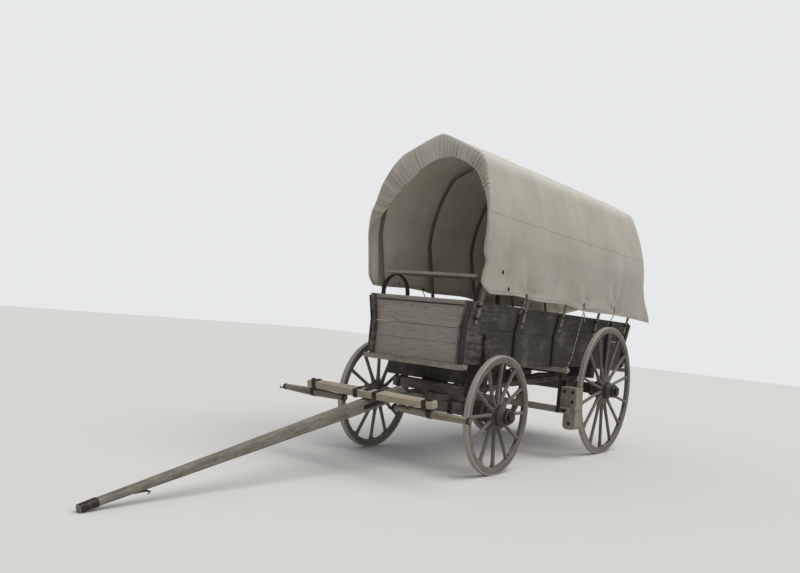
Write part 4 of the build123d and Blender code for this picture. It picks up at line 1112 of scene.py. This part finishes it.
def read_off(table, at):
    """Reads a table of pairs at a place, or at many, in straight lines from row to row."""
    return np.interp(at, *zip(*table))


def gradual(values):
    """Shares held between 0 and 1, with a soft start and end."""
    held = np.clip(values, 0, 1)
    return held * held * (3 - 2 * held)


right = np.array(half_arch())
arch = np.concatenate([right, right[-2::-1] * (-1, 1)])
run = np.concatenate([[0], np.cumsum(np.hypot(*np.diff(arch, axis=0).T))])
arch_length = run[-1]
fine = 2 * ACROSS
share = np.linspace(0, 1, fine + 1)
arch = np.stack([np.interp(share * arch_length, run, arch[:, k]) for k in (0, 1)], axis=1)
gentle, round_top = softened(arch, 16), softened(arch, 70)
arch = gentle + (round_top - gentle) * gradual(2 - np.abs(arch[:, :1]) / 0.09)
arch[:, 1] += CLOTH_OVER_BOWS * np.clip(1.5 - np.abs(arch[:, 0]) / 0.2, 0, 1)
slope = np.gradient(arch, axis=0)
arch_out = np.stack([slope[:, 1], -slope[:, 0]], axis=1) / np.hypot(*slope.T)[:, None]
drop = ridge_z - arch[:, 1]
loose = np.maximum(0.0, (drop - LOOSE_BELOW) / (ridge_z - hem_z - LOOSE_BELOW))
near_side = arch[:, 0] > 0
front_y = box_front - np.where(near_side, read_off(NEAR_FRONT, drop), read_off(FAR_FRONT, drop))
front_y = softened(front_y, 40)
rear_y = softened(box_back + read_off(REAR, drop), 200)
mouth_z = ridge_z - MOUTH_CENTRE_DROP
around = np.degrees(np.arctan2(arch[:, 0], arch[:, 1] - mouth_z))
degrees = np.arange(-180, 181)
mouth_at = np.interp(around, degrees, softened(read_off(MOUTH, degrees), 60))
facing = np.radians(around)
inner = np.stack([mouth_at * np.sin(facing), mouth_z + mouth_at * np.cos(facing)], axis=1)
open_part = gradual((MOUTH_CLOSES[0] - np.abs(around)) / MOUTH_CLOSES[1])[:, None]
inner = (arch - arch_out * MOUTH_HEM) * (1 - open_part) + inner * open_part
band_in = inner - arch
band_wide = np.hypot(*band_in.T)
band_in = band_in / band_wide[:, None]
hem_places = np.linspace(-1, 5, 301)
hem_heights = softened(read_off(HEM_LINE, hem_places), 30)


def hem_at(behind):
    """The hem's height at a distance behind the front axle."""
    return float(np.interp(behind, hem_places, hem_heights))


def wind(a, b, seed):
    """Smooth chance values for slack and puckers in the cloth."""
    return noise.noise(Vector((a, b, seed)))


def between_bows(y, low):
    """How far the cloth can sink: not at all over a bow, most midway, and freely past the end ones."""
    if y < bow_y[0]:
        return 0.6 * (bow_y[0] - y) / 0.2
    if y > bow_y[-1]:
        return 0.8 * (y - bow_y[-1]) / 0.2 * (1 - low)
    for a, b in zip(bow_y, bow_y[1:]):
        if a < y < b:
            return (4 * (y - a) * (b - y) / (b - a) ** 2) ** 0.8
    return 0.0


def cover_point(k, y):
    """A point of the cover over place k of the arch: sagging between bows, loose and folded below."""
    x, z = arch[k]
    low, top = loose[k], min(max((0.50 - abs(x)) / 0.40, 0), 1)
    push = -SAG * min(between_bows(y, low), 1.2) * (1 - 0.45 * low) * (1 - 0.75 * top)
    push += SLACK * wind(1.9 * y + 0.7 * z, 1.5 * z, 3.1) * (0.4 + low) * (1 - 0.5 * top)
    push += PUCKER * wind(6.1 * y + 2.0 * z, 5.0 * z - 1.5 * y, 11.3)
    push += HANGING_FOLD * wind(5.2 * y, 1.1 * z, 7.7 + math.copysign(2, x)) * low
    push += HANGING_RIPPLE * wind(11 * y, 0.9 * z, 5.0) * low
    for edge, (depth, turns) in zip((y - front_y[k], rear_y[k] - y), EDGE_WAVES):
        wave = math.sin(turns * y + 2.2 * wind(0, 1.3 * z, turns))
        push += depth * math.exp(-(edge / EDGE_WAVE_REACH) ** 2) * wave * min(1, 2.5 * low)
    behind = y - front_axle_y
    side_z = z + (hem_at(behind) - hem_z) * low ** 2
    for n, tie in enumerate(TIES):
        dy, up = behind - tie, side_z - hem_at(tie) - TIE_ABOVE_HEM
        away = math.hypot(dy, up)
        if away < 1.2:
            fan = math.cos((7 + n) * math.atan2(dy, up + 0.02) + 1.1 * n) * min(away / 0.1, 1)
            pull = TIE_PULL[0] * fan * math.exp(-away / TIE_PULL[1])
            dimple = TIE_DIMPLE[0] * math.exp(-(away / TIE_DIMPLE[1]) ** 2)
            push += (pull - dimple) * min(1, 2 * low + 0.2)
    rise = float(read_off(RIDGE_RISE, y - box_front) * gradual((0.60 - abs(x)) / 0.22))
    return np.array((x + arch_out[k][0] * push, y, side_z + arch_out[k][1] * push + rise))


def one_in_each(length):
    """Angles round the arch, with a full turn in each length of it."""
    return 2 * math.pi * share * arch_length / length


def chances(waves, seed):
    """Smooth chance values round the arch, with so many waves in its length."""
    return np.array([wind(waves * s, 0, seed) for s in share])


gathers = one_in_each(PLEAT) + 1.5 * chances(9, 2.0) + 1.2 * chances(37, 4.0)
pleats = 1 - 2 * np.abs(np.sin(gathers / 2)) ** 0.7
pleats = pleats * (0.75 + 0.9 * chances(23, 6.0)) * read_off(PLEAT_DEPTH, around)
wide_folds = np.sin(one_in_each(WIDE_FOLD) + 2 * chances(7, 8.0))
rear_folds = np.sin(one_in_each(REAR_FOLD) + 4.5 * chances(8, 9.0)) * (0.75 + 1.1 * chances(17, 12.0))

every_other = range(0, fine + 1, 2)
rows, lengths = [], []
for e, roll in [(1.0, roll) for roll in HEM_TURNS] + [(e, 0) for e in BAND_STEPS]:
    tuck = HEM_ROLL * math.sin(math.radians(roll))
    turned_under = HEM_ROLL * (1 - math.cos(math.radians(roll)))
    row = []
    for k in range(fine + 1):
        wide = band_wide[k]
        gathered = min(1, wide / 0.10)
        fore = MOUTH_FORWARD * e * min(1, wide / 0.2)
        fore -= MOUTH_HOLLOW * math.sin(math.pi * min(1, e * 1.5)) * gathered
        fore += pleats[k] * (PLEAT_RISE[0] + PLEAT_RISE[1] * e ** 0.7) * gathered
        if not near_side[k]:
            bulge = math.sin(math.pi * (0.15 + 0.7 * e)) * gathered
            fore += WIDE_FOLD_RISE * wide_folds[k] * bulge * min(1, drop[k] / 0.4)
        inward = band_in[k] * (wide * e + tuck)
        row.append(cover_point(k, front_y[k]) + np.array((inward[0], fore + turned_under, inward[1])))
    rows.append(row)
    lengths.append(-0.25 * e)
for i in range(ALONG + 1):
    part = i / ALONG
    part = part - ROWS_CROWD * math.sin(2 * math.pi * part) / (2 * math.pi)
    reach = front_y + (rear_y - front_y) * part
    rows.append([cover_point(k, reach[k]) for k in every_other])
    lengths.append(part)
hole_z = ridge_z - HOLE_DROP
for e in REAR_STEPS:
    row = []
    for k in every_other:
        from_ridge = abs(share[k] - 0.5) * 2
        if from_ridge < HOLE_SHARE:
            a = math.pi * from_ridge / HOLE_SHARE
            x, z = math.sin(a) * HOLE_HALF[0], hole_z + math.cos(a) * HOLE_HALF[1]
        else:
            down = (from_ridge - HOLE_SHARE) / (1 - HOLE_SHARE)
            x, z = 0.004, hole_z - HOLE_HALF[1] - down * SLIT_LONG
        y = box_back - HOLE_AHEAD + HOLE_LEAN * (z - BULGE_Z)
        target = np.array((math.copysign(x, arch[k][0]), y, z))
        edge = cover_point(k, rear_y[k])
        point = edge + (target - edge) * e
        point[1] += REAR_BULGE * math.sin(math.pi * min(1, 1.7 * e))
        point[1] += rear_folds[k] * (REAR_FOLD_RISE[0] + REAR_FOLD_RISE[1] * e)
        row.append(point)
    rows.append(row)
    lengths.append(1 + 0.25 * e)
points = np.concatenate([np.array(row) for row in rows])
starts = np.cumsum([0] + [len(row) for row in rows])
faces = []
for n in range(len(rows) - 1):
    a, b = starts[n], starts[n + 1]
    if len(rows[n]) == len(rows[n + 1]):
        faces += [(a + k, a + k + 1, b + k + 1, b + k) for k in range(len(rows[n]) - 1)]
    else:
        faces += [(a + 2 * k, a + 2 * k + 1, a + 2 * k + 2, b + k + 1, b + k) for k in range(ACROSS)]
lie = []
for row, length in zip(rows, lengths):
    across = (share if len(row) == fine + 1 else share[::2]) * arch_length - arch_length / 2
    lie.append(np.stack([np.array(row)[:, 1], across, np.full(len(row), length)], axis=1))
lie = np.concatenate(lie)


def cotton_duck(name, clean, stained_to, painted_sky_light, seam_shows):
    """Heavy plain-woven cotton: matt, its thread drawn coarse to show, painted sky light on top, sewn
    seams.
    """
    material, tree = fresh_material(name)
    place = add(tree, "Attribute", attribute_name="grain", out="Vector")
    spot = add(tree, "TexCoord", out="Object")
    along, across, length = add(tree, "SeparateXYZ", {0: place}).node.outputs
    blotch = clouds(tree, spot, 520, 4.0)
    down = add(tree, "Mapping", {"Vector": place, "Scale": (1.0, 0.22, 0.0)})
    runs = clouds(tree, down, 140, 3.0)
    slub = clouds(tree, spot, 12, 3.0, 0.7)
    colour = mixed(tree, ranged(tree, blotch, 0.4, 0.7), linear(clean), linear(stained_to))
    either = worked(tree, "ABSOLUTE", across)
    # Painted sky light: the top of the cover is made lighter, less on the front band, in place of light
    # from above.
    top_light_share = ranged(tree, length, -0.06, 0.0, 0.6, 0.9)
    top_light_mask = ranged(tree, either, 0.60, 0.42, high=top_light_share, interpolation_type="SMOOTHSTEP")
    colour = mixed(tree, top_light_mask, colour, linear(painted_sky_light))
    for chance_map, *span in ((runs, 0.3, 0.7, 0.95, 1.04), (slub, 0.35, 0.65, 0.965, 1.03)):
        colour = mixed(tree, 1.0, colour, ranged(tree, chance_map, *span), "MULTIPLY")

    def lines(place_along, places, sharp, wide):
        """Where the cloth lies within a width of any of some places, as 0 to 1."""
        found = None
        for at in places:
            off = worked(tree, "ABSOLUTE", worked(tree, "SUBTRACT", place_along, at))
            near = ranged(tree, off, sharp, wide, 1.0, 0.0)
            found = near if found is None else worked(tree, "MAXIMUM", found, near)
        return found

    seams = lines(either, (*SEAMS_AT, arch_length / 2 - HEM_SEWN_AT), 0.003, 0.010)
    over_bows = lines(along, bow_y, 0.008, 0.030)
    for where, much, tone in ((over_bows, 0.05, "7A7264"), (seams, seam_shows, "6A6457")):
        colour = mixed(tree, worked(tree, "MULTIPLY", where, much), colour, linear(tone))
    thread = {"Vector": place, "Scale": 1000 / 2.6 / 20, "Distortion": 0.4}
    warp, weft = [add(tree, "TexWave", thread, out="Fac", bands_direction=way) for way in "XY"]
    weave = worked(tree, "MULTIPLY", warp, weft)
    crease = clouds(tree, spot, 110, 4.0, distorted=0.8)
    relief = worked(tree, "MULTIPLY_ADD", crease, 14.0, weave)
    relief = worked(tree, "MULTIPLY_ADD", seams, 3.0, relief)
    bump = add(tree, "Bump", {"Strength": 0.5, "Distance": 0.0007, "Height": relief})
    surface(tree, {"Base Color": colour, "Roughness": 0.92, "Normal": bump, "Specular IOR Level": 0.2,
                   "Sheen Weight": 0.15, "Sheen Roughness": 0.6})
    return material


# C6C1B5 is the painted sky light on the cover's top.
weathered = cotton_duck("weathered_cotton_duck", "A9A395", "9F9889", "C6C1B5", seam_shows=0.30)
# The under side is painted lighter than the outside all over: painted light standing in for daylight
# shining through the cloth.
under_side = cotton_duck("cotton_duck_under_side_painted_lighter", "DED7C7", "D3CBBA", "DED7C7", seam_shows=0.12)
cover = build("cotton_duck_cover", [(points, faces, lie)], weathered, "wagon_box",
              ["canvas_cover"], sharp=180)
cover.data.materials.append(under_side)
thick = cover.modifiers.new("cloth_thickness", "SOLIDIFY")
thick.thickness = CLOTH_THICK
thick.offset = -1
thick.material_offset = 1
thick.material_offset_rim = 0

# Ties: iron washers set in the cover's hem, with a hemp rope drawn tight through three on a side: two
# to a hook on the box and one slanting forward to the long sill's end, which it goes round.
EYELETS = (
    # distance behind the front axle, steps up from the hem: the first three carry ropes
    (TIES[0], 6), (TIES[1], 14), (TIES[2], 14), (0.110, 12), (-0.040, 43),
)
WASHER = (
    # radius, height over the cloth
    (0.0030, -0.0010), (0.0030, 0.0040), (0.0080, 0.0046), (0.0180, 0.0026), (0.0195, 0.0004),
    (0.0195, -0.0010),
)
ROPE = 0.0042
ROPE_THROUGH = 0.010
ROPE_OFF_HEM = 0.004
SLANTING = 1
SILL_AHEAD = 0.0353
ABOVE_SILL = (0.640, 0.10, 1.02)
SILL_BACK = 0.038
SILL_TURNS = (0.618, 0.628, 0.636)
SILL_SECTION = (
    # distance behind the sill's middle, height over its top
    (0.036, -0.046), (-0.036, -0.048), (-0.037, 0.002), (0.037, 0.002),
)
ROPE_TAIL = (
    # from the hem's edge: outwards, back, up
    (0.002, 0.0, -0.020), (0.004, 0.012, -0.050), (0.002, 0.026, -0.085), (0.003, 0.032, -0.115),
)
HOOK_AT = 1.385
HOOK_OUT = 0.010
HOOK_BEHIND = 0.012
HOOK_TURNS = (
    # where the rope goes round its hook: outwards, back, up
    (0.0, 0.0, 0.012), (0.0, 0.004, -0.006), (-0.004, 0.012, 0.002), (0.003, -0.004, 0.030),
)
TIE_HOOK = (
    # distance out from the box, height
    (0.0, 0.012), (0.012, 0.010), (0.018, 0.0), (0.014, -0.012), (0.0, -0.014),
)
TIE_HOOK_R = 0.003
TIE_HOOK_BESIDE = 0.004


def hemp():
    """Hard-laid hemp rope, grey with weather: its strands show as slanting ridges."""
    material, tree = fresh_material("weathered_hemp_rope")
    spot = add(tree, "TexCoord", out="Object")
    lay = add(tree, "Mapping", {"Vector": spot, "Rotation": (0.6, 0.3, 0.0)})
    turns = {"Vector": lay, "Scale": 1000 / 9 / 20, "Distortion": 0.5}
    strand = add(tree, "TexWave", turns, out="Fac", bands_direction="Z")
    fuzz = clouds(tree, spot, 3, 3.0)
    colour = mixed(tree, strand, linear("6E6553"), linear("A79D89"))
    relief = worked(tree, "ADD", strand, fuzz)
    bump = add(tree, "Bump", {"Strength": 0.6, "Distance": 0.0012, "Height": relief})
    surface(tree, {"Base Color": colour, "Roughness": 0.95, "Normal": bump})
    return material


sill_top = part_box("cross_sills")[1].z
sill_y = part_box("brake_hangers")[0].y - SILL_AHEAD
ropes, eyelets = [], []
for side in (-1, 1):
    for n, (back, steps_up) in enumerate(EYELETS):
        y = back + front_axle_y
        k = steps_up if side > 0 else fine - steps_up
        place = Vector(cover_point(k, y))
        out = Vector((arch_out[k][0], 0, arch_out[k][1]))
        basis = out.to_track_quat("Z", "Y").to_matrix()
        rings = [[place + basis @ Vector((r * c, r * s, up)) for r, up in WASHER]
                 for c, s in oval(1, 1, count=20)]
        eyelets.append(through_rings(rings, around=True))
        if n >= len(TIES):
            continue
        hem_edge = Vector(cover_point(1 if side > 0 else fine - 1, y)) + out * (ROPE + ROPE_OFF_HEM)
        outside = place + out * ROPE_THROUGH
        path = [place - out * ROPE_THROUGH, outside, outside + (hem_edge - place) * 0.25, hem_edge]
        if n == SLANTING:
            far, back_y, up = ABOVE_SILL
            path.append((side * far, sill_y + back_y, up))
            path.append((side * (SILL_TURNS[0] + ROPE), sill_y + SILL_BACK + ROPE, sill_top + ROPE))
            for x in SILL_TURNS:
                for back_y, up in SILL_SECTION:
                    over = sill_top + up + (ROPE if up > 0 else 0)
                    path.append((side * (x + ROPE), sill_y + back_y + math.copysign(ROPE, back_y), over))
        else:
            hook_x, y = side * side_face(HOOK_AT, HOOK_OUT), y + HOOK_BEHIND
            path += [(hook_x + side * x, y + dy, HOOK_AT + dz) for x, dy, dz in HOOK_TURNS]
            hook = [(side * side_face(HOOK_AT, off), y + TIE_HOOK_BESIDE, HOOK_AT + up)
                    for off, up in TIE_HOOK]
            eyelets.append(tube(hook, TIE_HOOK_R, 8))
        ropes.append(tube(path, ROPE))
        if n == SLANTING:
            tail = [hem_edge + Vector((side * x, dy, dz)) for x, dy, dz in ROPE_TAIL]
            ropes.append(tube(tail, (ROPE, ROPE, ROPE, ROPE * 1.3)))
build("tie_ropes", ropes, hemp(), "wagon_box")
build("eyelets_and_hooks", eyelets, iron, "wagon_box")
